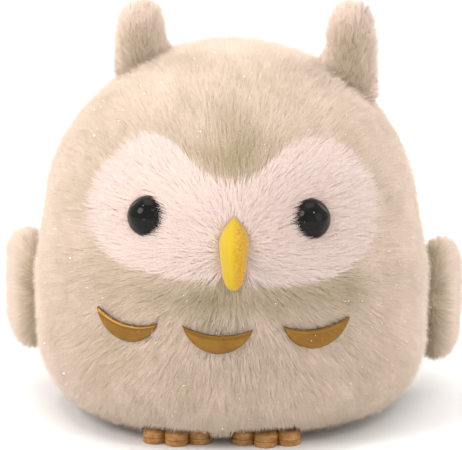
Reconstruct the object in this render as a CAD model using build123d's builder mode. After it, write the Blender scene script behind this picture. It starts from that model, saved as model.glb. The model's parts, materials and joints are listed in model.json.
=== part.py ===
from build123d import *
import math
import os

# A talking plush owl with a nodding head. A fur body stands on a flat plastic base that
# holds the batteries and the speaker. Above it a two-shell housing holds the circuit board
# and a geared motor, whose crank rocks a lever under the head frame.
# Millimetres, +Z up, the owl faces -Y, and z = 0 is the flat underside of the base.

os.makedirs("parts", exist_ok=True)

# ---- driving dimensions: plush ------------------------------------------------------
half_width = 66.2  # radius of the fur body at its waist
plush_bottom = 0.5
plush_top = 126.2
heel_radius = 26.0  # rounding from the underside up to the upright waist
waist_top = 50.0
crown_radius = 63.5  # ball of the head, down to crown_angle above the horizontal
crown_angle = math.radians(15)
crown_height = plush_top - crown_radius
skin_thickness = 6.5  # pile and backing cloth together
soft_gap = 0.4  # between a soft piece and its neighbour
neck_height = 53.0  # top of the belly on the centre line
neck_gap = 0.6
neck_slope = 5.6  # fall of the belly's top to front and back, degrees
ear_height = 138.5
ear_middle = 4.9  # the ears are sewn a little to the right of the centre line
ear_spread = 33.3
ear_outer_foot = 11.2  # from an ear's middle to its corners, outwards and inwards
ear_inner_foot = 11.0
ear_outer_tip = 10.8
ear_inner_tip = 6.4
face_middle = 2.3  # so is the face
eye_radius = 6.75
wing_thickness = 7.2
wing_height = 41.0
wing_length = 31.0

# ---- driving dimensions: base -------------------------------------------------------
base_width = 84.0
base_depth = 70.0
base_corner = 24.0
base_height = 13.0
base_floor = 2.0
base_wall = 2.6
cover_thickness = 2.0
bay_length = 51.0
bay_width = 33.5
bay_middle = 14.25
bay_wall = 1.2
battery_radius = 5.25
battery_length = 44.5
battery_pitch = 10.8
speaker_y = -20.5
speaker_radius = 11.0
switch_x = 33.0
switch_travel = 3.0
door_screw_y = -5.4
boss_x = 30.5
boss_y = 18.0
foot_spread = 14.5
foot_middle = -0.6
toe_radius = 3.85
toe_pitch = 7.3
toe_height = 5.0

# ---- driving dimensions: housing and gearbox ----------------------------------------
housing_width = 70.0
housing_depth = 48.0
housing_bottom = base_height + cover_thickness
housing_top = 48.8
housing_wall = 1.8
pivot_height = 54.0  # the head nods about this line
nod_limit = 5.0  # degrees, each way
pin_radius = 1.5
lug_radius = 3.8
module = 0.5
wheel_teeth = 30
cluster_teeth = 10
pinion_teeth = 9
crank_centre = (0.0, 32.0)  # (y, z) of each shaft
cluster_2_centre = (9.2, 35.92)
cluster_1_centre = (11.4, 26.165)
motor_centre = (1.7, 25.25)
gear_face = 3.0
crank_throw = (pivot_height - crank_centre[1]) * math.sin(math.radians(nod_limit))
axle_radius = 0.75
running_gap = 0.05
fit_gap = 0.02
lead_radius = 0.5


def arc_length_radii(points):
    """Largest tangent arc at each corner of a lead's route, from the runs beside it."""
    radii = []
    for before, corner, after in zip(points, points[1:], points[2:]):
        run_in = Vector(*corner) - Vector(*before)
        run_out = Vector(*after) - Vector(*corner)
        half_turn = math.radians(run_in.get_angle(run_out)) / 2
        radii.append(0.45 * min(run_in.length, run_out.length) / math.tan(half_turn))
    return radii


def lead(points):
    """Insulated wire along straight runs joined by tangent arcs."""
    radii = arc_length_radii(points)
    with BuildPart() as wire:
        with BuildLine() as route:
            FilletPolyline(*points, radius=radii)
        with BuildSketch(Plane(origin=route.line @ 0, z_dir=route.line % 0)):
            Circle(lead_radius)
        sweep()
    route_length = sum(edge.length for edge in route.edges())
    expected = math.pi * lead_radius**2 * route_length
    smallest = min(radii)
    print(f"lead: radius {smallest:.1f} mm, volume ratio {wire.part.volume / expected:.4f}")
    return wire.part


def pan_screw(shank_radius, shank_length, head_radius, head_height):
    """Screw along +Z with its head under z = 0, a slot in the head and a pointed tip."""
    with BuildPart() as screw:
        Cylinder(shank_radius, shank_length, align=(Align.CENTER, Align.CENTER, Align.MIN))
        chamfer(screw.edges().sort_by(Axis.Z)[-1], shank_radius / 2)
        with Locations((0, 0, -head_height)):
            Cylinder(head_radius, head_height, align=(Align.CENTER, Align.CENTER, Align.MIN))
        chamfer(screw.edges().sort_by(Axis.Z)[0], head_height / 3)
        with Locations((0, 0, -head_height)):
            Box(1.6 * head_radius, 0.5, head_height, mode=Mode.SUBTRACT)
            Box(0.5, 1.6 * head_radius, head_height, mode=Mode.SUBTRACT)
    return screw.part


# ---- plush forms --------------------------------------------------------------------
def plush_radius(z):
    """Radius of the fur body at a height above the waist."""
    crown_foot = crown_height + crown_radius * math.sin(crown_angle)
    if z > crown_foot:
        return math.sqrt(crown_radius**2 - (z - crown_height) ** 2)
    taper = max(0.0, z - waist_top) / (crown_foot - waist_top)
    return half_width + (crown_radius * math.cos(crown_angle) - half_width) * taper


def surface_y(x, z):
    """Front of the fur body at (x, z)."""
    return -math.sqrt(plush_radius(z) ** 2 - x**2)


def half_outline(inset):
    """Right-hand half of the fur body's outline, drawn in by inset."""
    waist = half_width - inset
    ball = crown_radius - inset
    crown_foot = (ball * math.cos(crown_angle), crown_height + ball * math.sin(crown_angle))
    with BuildSketch() as half:
        with BuildLine():
            sole = Line((0, plush_bottom + inset), (half_width - heel_radius, plush_bottom + inset))
            heel = JernArc(sole @ 1, (1, 0), heel_radius - inset, 90)
            upright = Line(heel @ 1, (waist, waist_top))
            shoulder = Line(upright @ 1, crown_foot)
            crown = ThreePointArc(
                shoulder @ 1,
                (ball * math.sin(math.pi / 6), crown_height + ball * math.cos(math.pi / 6)),
                (0, crown_height + ball),
            )
            Line(crown @ 1, sole @ 0)
        make_face()
    return half.sketch


def plush_form(inset=0.0):
    """Closed form of the whole fur body, drawn in by inset on every side."""
    with BuildPart() as form:
        with BuildSketch(Plane.XZ):
            add(half_outline(inset))
        revolve(axis=Axis.Z)
    return form.part


def plush_layer(outer_inset, inner_inset):
    """Hollow layer of the fur body between two insets."""
    with BuildPart() as layer:
        with BuildSketch(Plane.XZ):
            add(half_outline(outer_inset))
            add(half_outline(inner_inset), mode=Mode.SUBTRACT)
        revolve(axis=Axis.Z)
    return layer.part


def base_outline(grow=0.0):
    """Rounded rectangle that every layer of the base follows."""
    with BuildSketch() as outline:
        RectangleRounded(base_width + 2 * grow, base_depth + 2 * grow, base_corner + grow)
    return outline.sketch


def belly_space():
    """Everything below the neck, with a top that falls away to front and back."""
    reach = 70.0
    fall = reach * math.tan(math.radians(neck_slope))
    with BuildPart() as space:
        with BuildSketch(Plane.YZ):
            Polygon(
                (-reach, -5.0),
                (reach, -5.0),
                (reach, neck_height - fall),
                (0.0, neck_height),
                (-reach, neck_height - fall),
                align=None,
            )
        extrude(amount=80, both=True)
    return space.part


def head_space():
    """Everything above the neck."""
    with BuildPart() as space:
        with Locations((0, 0, neck_height + neck_gap)):
            Box(160, 160, 100, align=(Align.CENTER, Align.CENTER, Align.MIN))
    return space.part


skin_layer = plush_layer(0, skin_thickness)
wadding_form = plush_form(skin_thickness + soft_gap)
raised_form = plush_form(-soft_gap / 2)
below_neck = belly_space()
above_neck = head_space()

# ---- base ---------------------------------------------------------------------------
boss_places = [(x, y) for x in (-boss_x, boss_x) for y in (-boss_y, boss_y)]
foot_places = [foot_middle - foot_spread, foot_middle + foot_spread]
foot_screw_height = 3.6
groove_bottom = 7.5
groove_height = 3.0
groove_depth = 1.0
door_length = 2 * 24.0
door_front = -7.6
door_back = 32.0
door_gap = 0.35
door_thickness = 1.75
screw_seat = 1.25  # depth of the counterbore for the door's screw

with BuildPart() as base_tub:
    with BuildSketch():
        add(base_outline())
    extrude(amount=base_height)
    with BuildSketch(Plane.XY.offset(base_floor)):
        add(base_outline(-base_wall))
    extrude(amount=base_height, mode=Mode.SUBTRACT)
    # groove for the tie that gathers the hem of the fur
    with BuildSketch(Plane.XY.offset(groove_bottom)):
        add(base_outline())
        add(base_outline(-groove_depth), mode=Mode.SUBTRACT)
    extrude(amount=groove_height, mode=Mode.SUBTRACT)
    # battery bay walls, and the ledge that the door's front edge closes against
    with BuildSketch(Plane.XY.offset(base_floor)):
        with Locations((0, bay_middle)):
            Rectangle(bay_length + 2 * bay_wall, bay_width + 2 * bay_wall)
            Rectangle(bay_length, bay_width, mode=Mode.SUBTRACT)
    extrude(amount=base_height - base_floor)
    with BuildSketch(Plane.XY.offset(base_floor)):
        with Locations((0, -5.65)):
            Rectangle(bay_length + 2 * bay_wall, 6.3)
    extrude(amount=bay_wall)
    with BuildSketch(Plane.XY.offset(base_floor)):
        with Locations((0, door_screw_y)):
            Circle(2.2)
    extrude(amount=7)
    # posts for the four long screws
    with BuildSketch(Plane.XY.offset(base_floor)):
        with Locations(*boss_places):
            Circle(3.0)
    extrude(amount=base_height - base_floor)
    with BuildSketch(Plane.XY.offset(base_floor + 1)):
        with Locations(*boss_places):
            Circle(1.2 + fit_gap)
    extrude(amount=base_height, mode=Mode.SUBTRACT)
    # openings in the floor: battery door, door screw, switch and speaker grille
    with BuildSketch():
        with Locations((0, (door_front + door_back) / 2)):
            Rectangle(door_length + 2 * door_gap, door_back - door_front + 2 * door_gap)
        with Locations((switch_x, 0)):
            SlotOverall(switch_travel + 3.4, 2.6, rotation=90)
        for step in range(-2, 3):
            with Locations((3.2 * step, speaker_y)):
                slot_length = 2 * math.sqrt(9.2**2 - (3.2 * step) ** 2)
                SlotOverall(slot_length, 1.6, rotation=90)
    extrude(amount=base_floor, mode=Mode.SUBTRACT)
    with BuildSketch():
        with Locations((0, door_screw_y)):
            Circle(1.0 + running_gap)
    extrude(amount=base_floor + 6.5, mode=Mode.SUBTRACT)
    # holes for the foot screws
    with BuildSketch(Plane.XZ.offset(base_depth / 2 - base_wall - 1)):
        with Locations(*[(x, foot_screw_height) for x in foot_places]):
            Circle(1.0 + fit_gap)
    extrude(amount=base_wall + 2, mode=Mode.SUBTRACT)
    chamfer(base_tub.faces().sort_by(Axis.Z)[0].outer_wire().edges(), 0.6)

with BuildPart() as base_cover:
    with BuildSketch(Plane.XY.offset(base_height)):
        add(base_outline())
        with Locations(*boss_places):
            Circle(1.4, mode=Mode.SUBTRACT)
        with Locations((28.3, 6.8), (28.0, -11.2)):
            Circle(3.0, mode=Mode.SUBTRACT)
    extrude(amount=cover_thickness)
    chamfer(base_cover.faces().sort_by(Axis.Z)[-1].outer_wire().edges(), 0.5)

with BuildPart() as base_screws:
    for place in boss_places:
        with Locations(Location((*place, housing_bottom + housing_wall), (180, 0, 0))):
            add(pan_screw(1.2, 12.5, 2.3, 1.4))

with BuildPart() as hem_tie:
    with BuildSketch(Plane.XY.offset(groove_bottom + 0.3)):
        add(base_outline(0.2))
        add(base_outline(fit_gap - groove_depth), mode=Mode.SUBTRACT)
    extrude(amount=groove_height - 0.6)
    with Locations((0, base_depth / 2 + 1.2, groove_bottom + groove_height / 2)):
        Box(4.6, 2.4, 3.6)
    fillet(hem_tie.edges().filter_by(Axis.Z).sort_by(Axis.Y)[-2:], 0.6)


# ---- feet ---------------------------------------------------------------------------
def toe(front):
    """One pebble-shaped toe that reaches from the heel to y = front, made of two layers."""
    back = -38.0
    length = back - front
    middle = (0, (front + back) / 2)
    with BuildPart() as pebble:
        with BuildSketch():
            with Locations(middle):
                SlotOverall(length, 2 * toe_radius, rotation=90)
        extrude(amount=toe_height)
        fillet(pebble.edges().group_by(Axis.Z)[-1], 1.7)
        fillet(pebble.edges().group_by(Axis.Z)[0], 0.5)
        # fine joint line between the two layers
        with BuildSketch(Plane.XY.offset(1.9)):
            with Locations(middle):
                SlotOverall(length + 1, 2 * toe_radius + 1, rotation=90)
                SlotOverall(length - 0.5, 2 * toe_radius - 0.5, rotation=90, mode=Mode.SUBTRACT)
        extrude(amount=0.25, mode=Mode.SUBTRACT)
    return pebble.part


middle_toe = toe(-53.0)
side_toe = toe(-50.6)


def foot(x):
    """Three toes on a heel block that lies against the front of the base."""
    with BuildPart() as sole:
        with BuildSketch():
            with Locations((x, -36.5)):
                RectangleRounded(2 * toe_pitch + 2 * toe_radius - 3, 9, 2.5)
        extrude(amount=toe_height + 1)
        fillet(sole.edges().group_by(Axis.Z)[-1], 1.0)
        with Locations((x - toe_pitch, 0, 0), (x + toe_pitch, 0, 0)):
            add(side_toe)
        with Locations((x, 0, 0)):
            add(middle_toe)
        with BuildSketch():
            add(base_outline(fit_gap))
        extrude(amount=base_height, mode=Mode.SUBTRACT)
        with BuildSketch(Plane.XZ.offset(30)):
            with Locations((x, foot_screw_height)):
                Circle(1.0 + fit_gap)
        extrude(amount=12.5, mode=Mode.SUBTRACT)
    return sole.part


with BuildPart() as foot_left:
    add(foot(foot_places[0]))

with BuildPart() as foot_right:
    add(foot(foot_places[1]))

with BuildPart() as foot_screws:
    for x in foot_places:
        with Locations(Location((x, base_wall - base_depth / 2, foot_screw_height), (90, 0, 0))):
            add(pan_screw(1.0, 9.0, 1.6, 1.0))

# ---- battery bay --------------------------------------------------------------------
battery_height = base_floor + battery_radius + 0.3
battery_rows = [bay_middle + step * battery_pitch for step in (-1, 0, 1)]

with BuildPart() as batteries:
    with Locations(*[(0, y, battery_height) for y in battery_rows]):
        Cylinder(battery_radius, battery_length - 1.0, rotation=(0, 90, 0))
    fillet(batteries.edges().filter_by(GeomType.CIRCLE), 0.5)
    # positive button, at alternate ends
    for step, y in enumerate(battery_rows):
        side = 1 if step % 2 == 0 else -1
        with Locations((side * battery_length / 2 - side * 0.5, y, battery_height)):
            Cylinder(1.9, 1.0, rotation=(0, 90, 0))


def bay_contacts(radius):
    """Contact plates at the bay's ends, with a leaf spring for each battery."""
    with BuildPart() as contacts:
        for side in (-1, 1):
            with Locations((side * (bay_length / 2 - 0.35), bay_middle, battery_height)):
                Box(0.5, bay_width - 1.5, 2 * radius - 3)
            for y in battery_rows:
                with Locations((side * (battery_length / 2 + 1.4), y, battery_height)):
                    Box(1.9, 4.0, 0.5)
                with Locations((side * (battery_length / 2 + 0.3), y, battery_height)):
                    Box(0.5, 4.0, 4.0)
    return contacts.part


with BuildPart() as battery_contacts:
    add(bay_contacts(battery_radius))

with BuildPart() as battery_door:
    with BuildSketch():
        with Locations((0, (door_front + door_back) / 2)):
            Rectangle(door_length, door_back - door_front)
    extrude(amount=door_thickness)
    fillet(battery_door.edges().filter_by(Axis.Z), 0.3)
    # finger ribs on the outside, and the screw's hole and counterbore
    with BuildSketch():
        for step in range(4):
            with Locations((0, 22 + 2 * step)):
                SlotOverall(16, 0.9)
    extrude(amount=0.3, mode=Mode.SUBTRACT)
    with BuildSketch():
        with Locations((0, door_screw_y)):
            Circle(1.9)
    extrude(amount=screw_seat, mode=Mode.SUBTRACT)
    with BuildSketch():
        with Locations((0, door_screw_y)):
            Circle(1.0 + fit_gap)
    extrude(amount=base_floor, mode=Mode.SUBTRACT)

with BuildPart() as door_screw:
    with Locations((0, door_screw_y, screw_seat)):
        add(pan_screw(1.0, 6.2, 1.7, 0.9))

# ---- speaker and switch -------------------------------------------------------------
magnet_bottom = 6.2
speaker_axis = Axis((0, speaker_y, 0), (0, 0, 1))
speaker_plane = Plane((0, speaker_y, 0), x_dir=(1, 0, 0), z_dir=(0, -1, 0))

with BuildPart() as speaker_frame:
    with BuildSketch(speaker_plane):
        Polygon(
            (speaker_radius, base_floor + 0.1),
            (speaker_radius, base_floor + 1.6),
            (5.6, 7.4),
            (5.6, 6.6),
            (speaker_radius - 1.5, base_floor + 0.9),
            (speaker_radius - 1.5, base_floor + 0.1),
            align=None,
        )
    revolve(axis=speaker_axis)

with BuildPart() as speaker_cone:
    with BuildSketch(speaker_plane):
        Polygon(
            (0, 4.6),
            (3.4, 5.4),
            (speaker_radius - 1.6, base_floor + 0.3),
            (speaker_radius - 1.6, base_floor + 0.7),
            (3.4, 5.9),
            (0, 5.1),
            align=None,
        )
    revolve(axis=speaker_axis)

with BuildPart() as speaker_magnet:
    with Locations((0, speaker_y, magnet_bottom)):
        Cylinder(5.5, 4.4, align=(Align.CENTER, Align.CENTER, Align.MIN))
    chamfer(speaker_magnet.faces().sort_by(Axis.Z)[-1].edges(), 0.5)

with BuildPart() as switch_body:
    with Locations((switch_x, 0, base_floor + 0.05)):
        Box(4.2, 9.0, 3.8, align=(Align.CENTER, Align.CENTER, Align.MIN))
        Box(2.4, 6.6, 1.6, align=(Align.CENTER, Align.CENTER, Align.MIN), mode=Mode.SUBTRACT)
    with Locations(*[(switch_x, y, base_floor + 4.6) for y in (-2.5, 0, 2.5)]):
        Box(0.8, 0.4, 1.6)

with BuildPart() as switch_knob:
    with Locations((switch_x, -switch_travel / 2, 0.4)):
        Box(1.7, 2.6, 2.6, align=(Align.CENTER, Align.CENTER, Align.MIN))
    fillet(switch_knob.edges().group_by(Axis.Z)[0].filter_by(Axis.X), 0.4)


# ---- housing ------------------------------------------------------------------------
plate_thickness = 1.5
inner_plate_x = -7.25
outer_plate_x = -21.25
board_x = 26.0
board_thickness = 1.6
microphone_place = (12.0, 40.0)  # (x, z) in the front wall
tab_places = [(x, z) for x in (-37.4, 37.4) for z in (21.0, 43.0)]
lever_x = -29.0


def pivot_lug(x, thickness, base_z):
    """Rounded lug about the nod axis that runs from its pin to base_z."""
    reach = base_z - pivot_height
    side = Align.MIN if reach > 0 else Align.MAX
    with BuildPart() as one_lug:
        with BuildSketch(Plane.YZ.offset(x - thickness / 2)):
            with Locations((0, pivot_height)):
                Circle(lug_radius)
                Rectangle(2 * lug_radius, abs(reach), align=(Align.CENTER, side))
        extrude(amount=thickness)
    return one_lug.part


def housing_form():
    """Both shells in one: a box with ribs, lugs for the nod pin and screw tabs."""
    inside_width = housing_width - 2 * housing_wall
    inside_depth = housing_depth - 2 * housing_wall
    with BuildPart() as form:
        with BuildSketch(Plane.XY.offset(housing_bottom)):
            RectangleRounded(housing_width, housing_depth, 6)
        extrude(amount=housing_top - housing_bottom)
        fillet(form.edges().group_by(Axis.Z)[-1], 1.5)
        with Locations(*[(x * 0.97, 0, z) for x, z in tab_places]):
            Box(6.0, 6.0, 6.4)
        with BuildSketch(Plane.XY.offset(housing_bottom + housing_wall)):
            RectangleRounded(inside_width, inside_depth, 6 - housing_wall)
        extrude(amount=housing_top - housing_bottom - 2 * housing_wall, mode=Mode.SUBTRACT)
        # ribs that hold the gearbox plates and the circuit board
        rib_height = housing_top - housing_bottom - 2 * housing_wall
        rib_z = housing_bottom + housing_wall
        for x, thickness in (
            (inner_plate_x, plate_thickness),
            (outer_plate_x, plate_thickness),
            (board_x, board_thickness),
        ):
            for side in (-1, 1):
                offset_x = thickness / 2 + 0.7
                with Locations((x - offset_x, side * 21.6, rib_z), (x + offset_x, side * 21.6, rib_z)):
                    Box(1.0, 1.6, rib_height, align=(Align.CENTER, Align.CENTER, Align.MIN))
        for x in (-20.0, 20.0):
            add(pivot_lug(x, 4.0, housing_top - 0.5))
        # bores and openings
        with BuildSketch(Plane.YZ.offset(-25)):
            with Locations((0, pivot_height)):
                Circle(pin_radius + fit_gap)
        extrude(amount=50, mode=Mode.SUBTRACT)
        with Locations((lever_x, 0, housing_top - housing_wall / 2)):
            Box(4.6, 11.6, housing_wall + 2, mode=Mode.SUBTRACT)
        with BuildSketch(Plane.XY.offset(housing_bottom)):
            with Locations(*boss_places):
                Circle(1.4)
            with Locations((28.3, 6.8), (28.0, -11.2)):
                Circle(3.0)
        extrude(amount=housing_wall, mode=Mode.SUBTRACT)
        with BuildSketch(Plane.XZ.offset(20)):
            with Locations(microphone_place):
                Circle(4.2)
        extrude(amount=6, mode=Mode.SUBTRACT)
        with BuildSketch(Plane.XZ.offset(-5)):
            with Locations(*tab_places):
                Circle(1.1 + fit_gap)
        extrude(amount=10, mode=Mode.SUBTRACT)
    return form.part


whole_housing = housing_form()

with BuildPart() as housing_front:
    add(whole_housing)
    split(bisect_by=Plane.XZ.offset(fit_gap / 2), keep=Keep.TOP)

with BuildPart() as housing_back:
    add(whole_housing)
    split(bisect_by=Plane.XZ.offset(-fit_gap / 2), keep=Keep.BOTTOM)

with BuildPart() as housing_screws:
    for x, z in tab_places:
        with Locations(Location((x, -3.0 - fit_gap, z), (-90, 0, 0))):
            add(pan_screw(1.1, 5.6, 2.1, 1.3))

with BuildPart() as hinge_pin:
    with BuildSketch(Plane.YZ.offset(-31.6)):
        with Locations((0, pivot_height)):
            Circle(pin_radius)
    extrude(amount=60.2)
    with BuildSketch(Plane.YZ.offset(-32.6)):
        with Locations((0, pivot_height)):
            Circle(pin_radius + 1)
    extrude(amount=1.0)
    with BuildSketch(Plane.YZ.offset(28.2)):
        with Locations((0, pivot_height)):
            Circle(pin_radius + 1)
    extrude(amount=1.0)
    chamfer(hinge_pin.faces().sort_by(Axis.X)[0].edges(), 0.3)
    chamfer(hinge_pin.faces().sort_by(Axis.X)[-1].edges(), 0.3)


# ---- gears --------------------------------------------------------------------------
def involute(angle):
    return math.tan(angle) - angle


def gear_face_sketch(teeth, addendum, phase):
    """Spur gear outline with true involute flanks, one tooth centred at phase (radians)."""
    pressure = math.radians(20)
    pitch_radius = module * teeth / 2
    base_radius = pitch_radius * math.cos(pressure)
    root_radius = pitch_radius - 0.6
    tip_radius = pitch_radius + addendum
    start_radius = max(base_radius, root_radius)
    half_tooth = math.pi / (2 * teeth) - 0.06 / pitch_radius
    flank = []
    for step in range(4):
        radius = start_radius + (tip_radius - start_radius) * step / 3
        roll = math.acos(min(1.0, base_radius / radius))
        flank.append((radius, half_tooth + involute(pressure) - involute(roll)))
    flank.insert(0, (root_radius, flank[0][1] + 0.02))
    points = []
    for tooth in range(teeth):
        centre = phase + 2 * math.pi * tooth / teeth
        for radius, angle in flank:
            points.append((radius * math.cos(centre - angle), radius * math.sin(centre - angle)))
        for radius, angle in reversed(flank):
            points.append((radius * math.cos(centre + angle), radius * math.sin(centre + angle)))
    with BuildSketch() as outline:
        with BuildLine():
            Polyline(*points, close=True)
        make_face()
    return outline.sketch


def mesh_phase(centre, next_centre, teeth, next_teeth, phase=0.0):
    """Phase that puts the next gear's gap on a tooth of this gear, on the line of centres."""
    line = math.atan2(next_centre[1] - centre[1], next_centre[0] - centre[0])
    return line + math.pi + math.pi / next_teeth - (phase - line) * teeth / next_teeth


def spur(x, centre, teeth, addendum, phase, bore):
    """Gear of one face width between x and x + gear_face."""
    with BuildPart() as wheel:
        with BuildSketch(Plane.YZ.offset(x)):
            with Locations(centre):
                add(gear_face_sketch(teeth, addendum, phase))
                Circle(bore, mode=Mode.SUBTRACT)
        extrude(amount=gear_face)
    return wheel.part


def ring(x, centre, outer, bore, length):
    """Plain collar about a shaft, from x to x + length."""
    with BuildPart() as collar:
        with BuildSketch(Plane.YZ.offset(x)):
            with Locations(centre):
                Circle(outer)
                if bore:
                    Circle(bore, mode=Mode.SUBTRACT)
        extrude(amount=length)
    return collar.part


layer_a = -12.0  # motor pinion and the wheel of cluster 1
layer_b = -16.0  # pinion of cluster 1 and the wheel of cluster 2
layer_c = -20.0  # pinion of cluster 2 and the crank wheel
wheel_addendum = 0.30
pinion_addendum = 0.45
cluster_bore = axle_radius + running_gap
crank_shaft_radius = 1.5
cluster_2_phase = mesh_phase(crank_centre, cluster_2_centre, wheel_teeth, cluster_teeth)
cluster_1_phase = mesh_phase(cluster_2_centre, cluster_1_centre, wheel_teeth, cluster_teeth)
motor_phase = mesh_phase(cluster_1_centre, motor_centre, wheel_teeth, pinion_teeth)
cluster_gap = layer_a - layer_b - gear_face

with BuildPart() as crank_gear:
    bore = crank_shaft_radius + fit_gap
    add(spur(layer_c, crank_centre, wheel_teeth, wheel_addendum, 0.0, bore))
    # web lightened by six round holes
    with BuildSketch(Plane.YZ.offset(layer_c)):
        with Locations(crank_centre):
            with PolarLocations(4.6, 6):
                Circle(1.1)
    extrude(amount=gear_face, mode=Mode.SUBTRACT)

with BuildPart() as gear_2:
    add(spur(layer_b, cluster_2_centre, wheel_teeth, wheel_addendum, 0.0, cluster_bore))
    add(ring(layer_b - cluster_gap, cluster_2_centre, 1.9, cluster_bore, cluster_gap))
    add(spur(layer_c, cluster_2_centre, cluster_teeth, pinion_addendum, cluster_2_phase, cluster_bore))

with BuildPart() as gear_1:
    add(spur(layer_a, cluster_1_centre, wheel_teeth, wheel_addendum, 0.0, cluster_bore))
    add(ring(layer_a - cluster_gap, cluster_1_centre, 1.9, cluster_bore, cluster_gap))
    add(spur(layer_b, cluster_1_centre, cluster_teeth, pinion_addendum, cluster_1_phase, cluster_bore))

with BuildPart() as motor_pinion:
    add(spur(layer_a, motor_centre, pinion_teeth, pinion_addendum, motor_phase, 1.0 + fit_gap))

with BuildPart() as crank_arm:
    shaft_end = inner_plate_x + plate_thickness / 2
    add(ring(-26.0, crank_centre, crank_shaft_radius, 0, shaft_end + 26.0))
    add(ring(-26.0, crank_centre, 4.6, 0, 3.0))
    crank_pin_centre = (crank_centre[0], crank_centre[1] - crank_throw)
    add(ring(-31.6, crank_pin_centre, pin_radius, 0, 6.0))

with BuildPart() as motor_shaft:
    add(ring(layer_a - 0.3, motor_centre, 1.0, 0, 30.5))

# ---- motor and gearbox frame --------------------------------------------------------
motor_front = -6.2
motor_length = 25.2

with BuildPart() as motor_can:
    with BuildSketch(Plane.YZ.offset(motor_front)):
        with Locations(motor_centre):
            Circle(10)
            Rectangle(20, 15, mode=Mode.INTERSECT)
            Circle(1.0 + running_gap, mode=Mode.SUBTRACT)
    extrude(amount=motor_length)

with BuildPart() as motor_end_cap:
    with BuildSketch(Plane.YZ.offset(motor_front + motor_length + fit_gap)):
        with Locations(motor_centre):
            Circle(9.4)
            Rectangle(20, 14, mode=Mode.INTERSECT)
    extrude(amount=1.4)
    for side in (-1, 1):
        terminal_y = motor_centre[0] + side * 5.5
        with Locations((motor_front + motor_length + 2.2, terminal_y, motor_centre[1] + 3)):
            Box(1.8, 0.5, 2.2)

pillar_places = [(-7.5, 42.2), (18.6, 43.2), (-7.6, 19.6), (18.4, 18.8)]


def gearbox_plate(x):
    """Plate across the housing with the bores of the crank and of the two axles."""
    with BuildPart() as plate:
        with BuildSketch(Plane.YZ.offset(x - plate_thickness / 2)):
            with Locations((0, 31.4)):
                RectangleRounded(44.0, 28.8, 1.5)
            with Locations(crank_centre):
                Circle(crank_shaft_radius + running_gap, mode=Mode.SUBTRACT)
            with Locations(cluster_1_centre, cluster_2_centre):
                Circle(axle_radius + fit_gap, mode=Mode.SUBTRACT)
        extrude(amount=plate_thickness)
    return plate.part


with BuildPart() as gearbox_plate_inner:
    add(gearbox_plate(inner_plate_x))
    with BuildSketch(Plane.YZ.offset(inner_plate_x - plate_thickness / 2)):
        with Locations(motor_centre):
            Circle(3.2)
    extrude(amount=plate_thickness, mode=Mode.SUBTRACT)

with BuildPart() as gearbox_plate_outer:
    add(gearbox_plate(outer_plate_x))
    # distance pillars moulded on the plate
    pillar_start = outer_plate_x + plate_thickness / 2
    with BuildSketch(Plane.YZ.offset(pillar_start)):
        with Locations(*pillar_places):
            Circle(1.7)
    extrude(amount=inner_plate_x - plate_thickness / 2 - pillar_start - fit_gap)

with BuildPart() as gear_axles:
    axle_start = outer_plate_x - plate_thickness / 2
    axle_length = inner_plate_x + plate_thickness / 2 - axle_start
    add(ring(axle_start, cluster_1_centre, axle_radius, 0, axle_length))
    add(ring(axle_start, cluster_2_centre, axle_radius, 0, axle_length))

# ---- electronics --------------------------------------------------------------------
board_back = board_x + board_thickness / 2
board_front = board_x - board_thickness / 2

with BuildPart() as circuit_board:
    with BuildSketch(Plane.YZ.offset(board_front)):
        with Locations((0, 31.6)):
            RectangleRounded(44.0, 28.4, 1.0)
    extrude(amount=board_thickness)

with BuildPart() as board_components:
    with Locations((board_back + 0.9, 7.0, 36.0)):
        Box(1.8, 9.0, 9.0)
    with Locations((board_back + 2.6, -7.0, 40.0)):
        Cylinder(2.5, 5.2, rotation=(0, 90, 0))
    with Locations((board_back + 1.0, 16.0, 40.5)):
        Box(2.0, 3.5, 6.5)
    for step in range(5):
        with Locations((board_back + 0.3, -14.0 + 3.4 * step, 31.0)):
            Box(0.6, 1.2, 2.2)
    with Locations((board_back + 0.8, -17.0, 36.0)):
        Box(1.6, 4.0, 3.0)

with BuildPart() as mic_grommet:
    with BuildSketch(Plane.XZ.offset(21.0)):
        with Locations(microphone_place):
            Circle(4.9)
            Circle(3.0 + fit_gap, mode=Mode.SUBTRACT)
    extrude(amount=3.4)
    # groove that the housing wall sits in
    with BuildSketch(Plane.XZ.offset(housing_depth / 2 - housing_wall - fit_gap)):
        with Locations(microphone_place):
            Circle(5.2)
            Circle(4.2 - fit_gap, mode=Mode.SUBTRACT)
    extrude(amount=housing_wall + 2 * fit_gap, mode=Mode.SUBTRACT)

with BuildPart() as microphone:
    with BuildSketch(Plane.XZ.offset(21.2)):
        with Locations(microphone_place):
            Circle(3.0)
    extrude(amount=2.8)
    fillet(microphone.edges().group_by(Axis.Y)[0], 0.4)

with BuildPart() as battery_leads:
    for y in (6.0, 7.6):
        add(lead([(28.3, y, 9.0), (28.3, y, 16.0), (27.35, y, 23.0)]))

with BuildPart() as speaker_leads:
    for y in (0.0, 1.5):
        route = [(12.0, -20.0, 5.5), (17.5, -18.6, 6.6), (23.0, -15.4, 9.6)]
        route += [(27.4, -12.6, 13.6), (28.2, -11.6, 19.0), (27.35, -11.4, 24.5)]
        add(lead([(x, place_y + y, z) for x, place_y, z in route]))

with BuildPart() as motor_leads:
    for side in (-1, 1):
        lead_y = motor_centre[0] + side * 5.5
        start = motor_front + motor_length + 3.2
        with Locations(Location((start, lead_y, motor_centre[1] + 3), (0, 90, 0))):
            Cylinder(lead_radius, board_front - start - 0.05,
                     align=(Align.CENTER, Align.CENTER, Align.MIN))

with BuildPart() as mic_leads:
    for z in (39.2, 40.8):
        add(lead([(12.0, -21.1, z), (12.6, -18.2, z), (16.6, -15.6, z), (25.15, -14.8, z)]))

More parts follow.
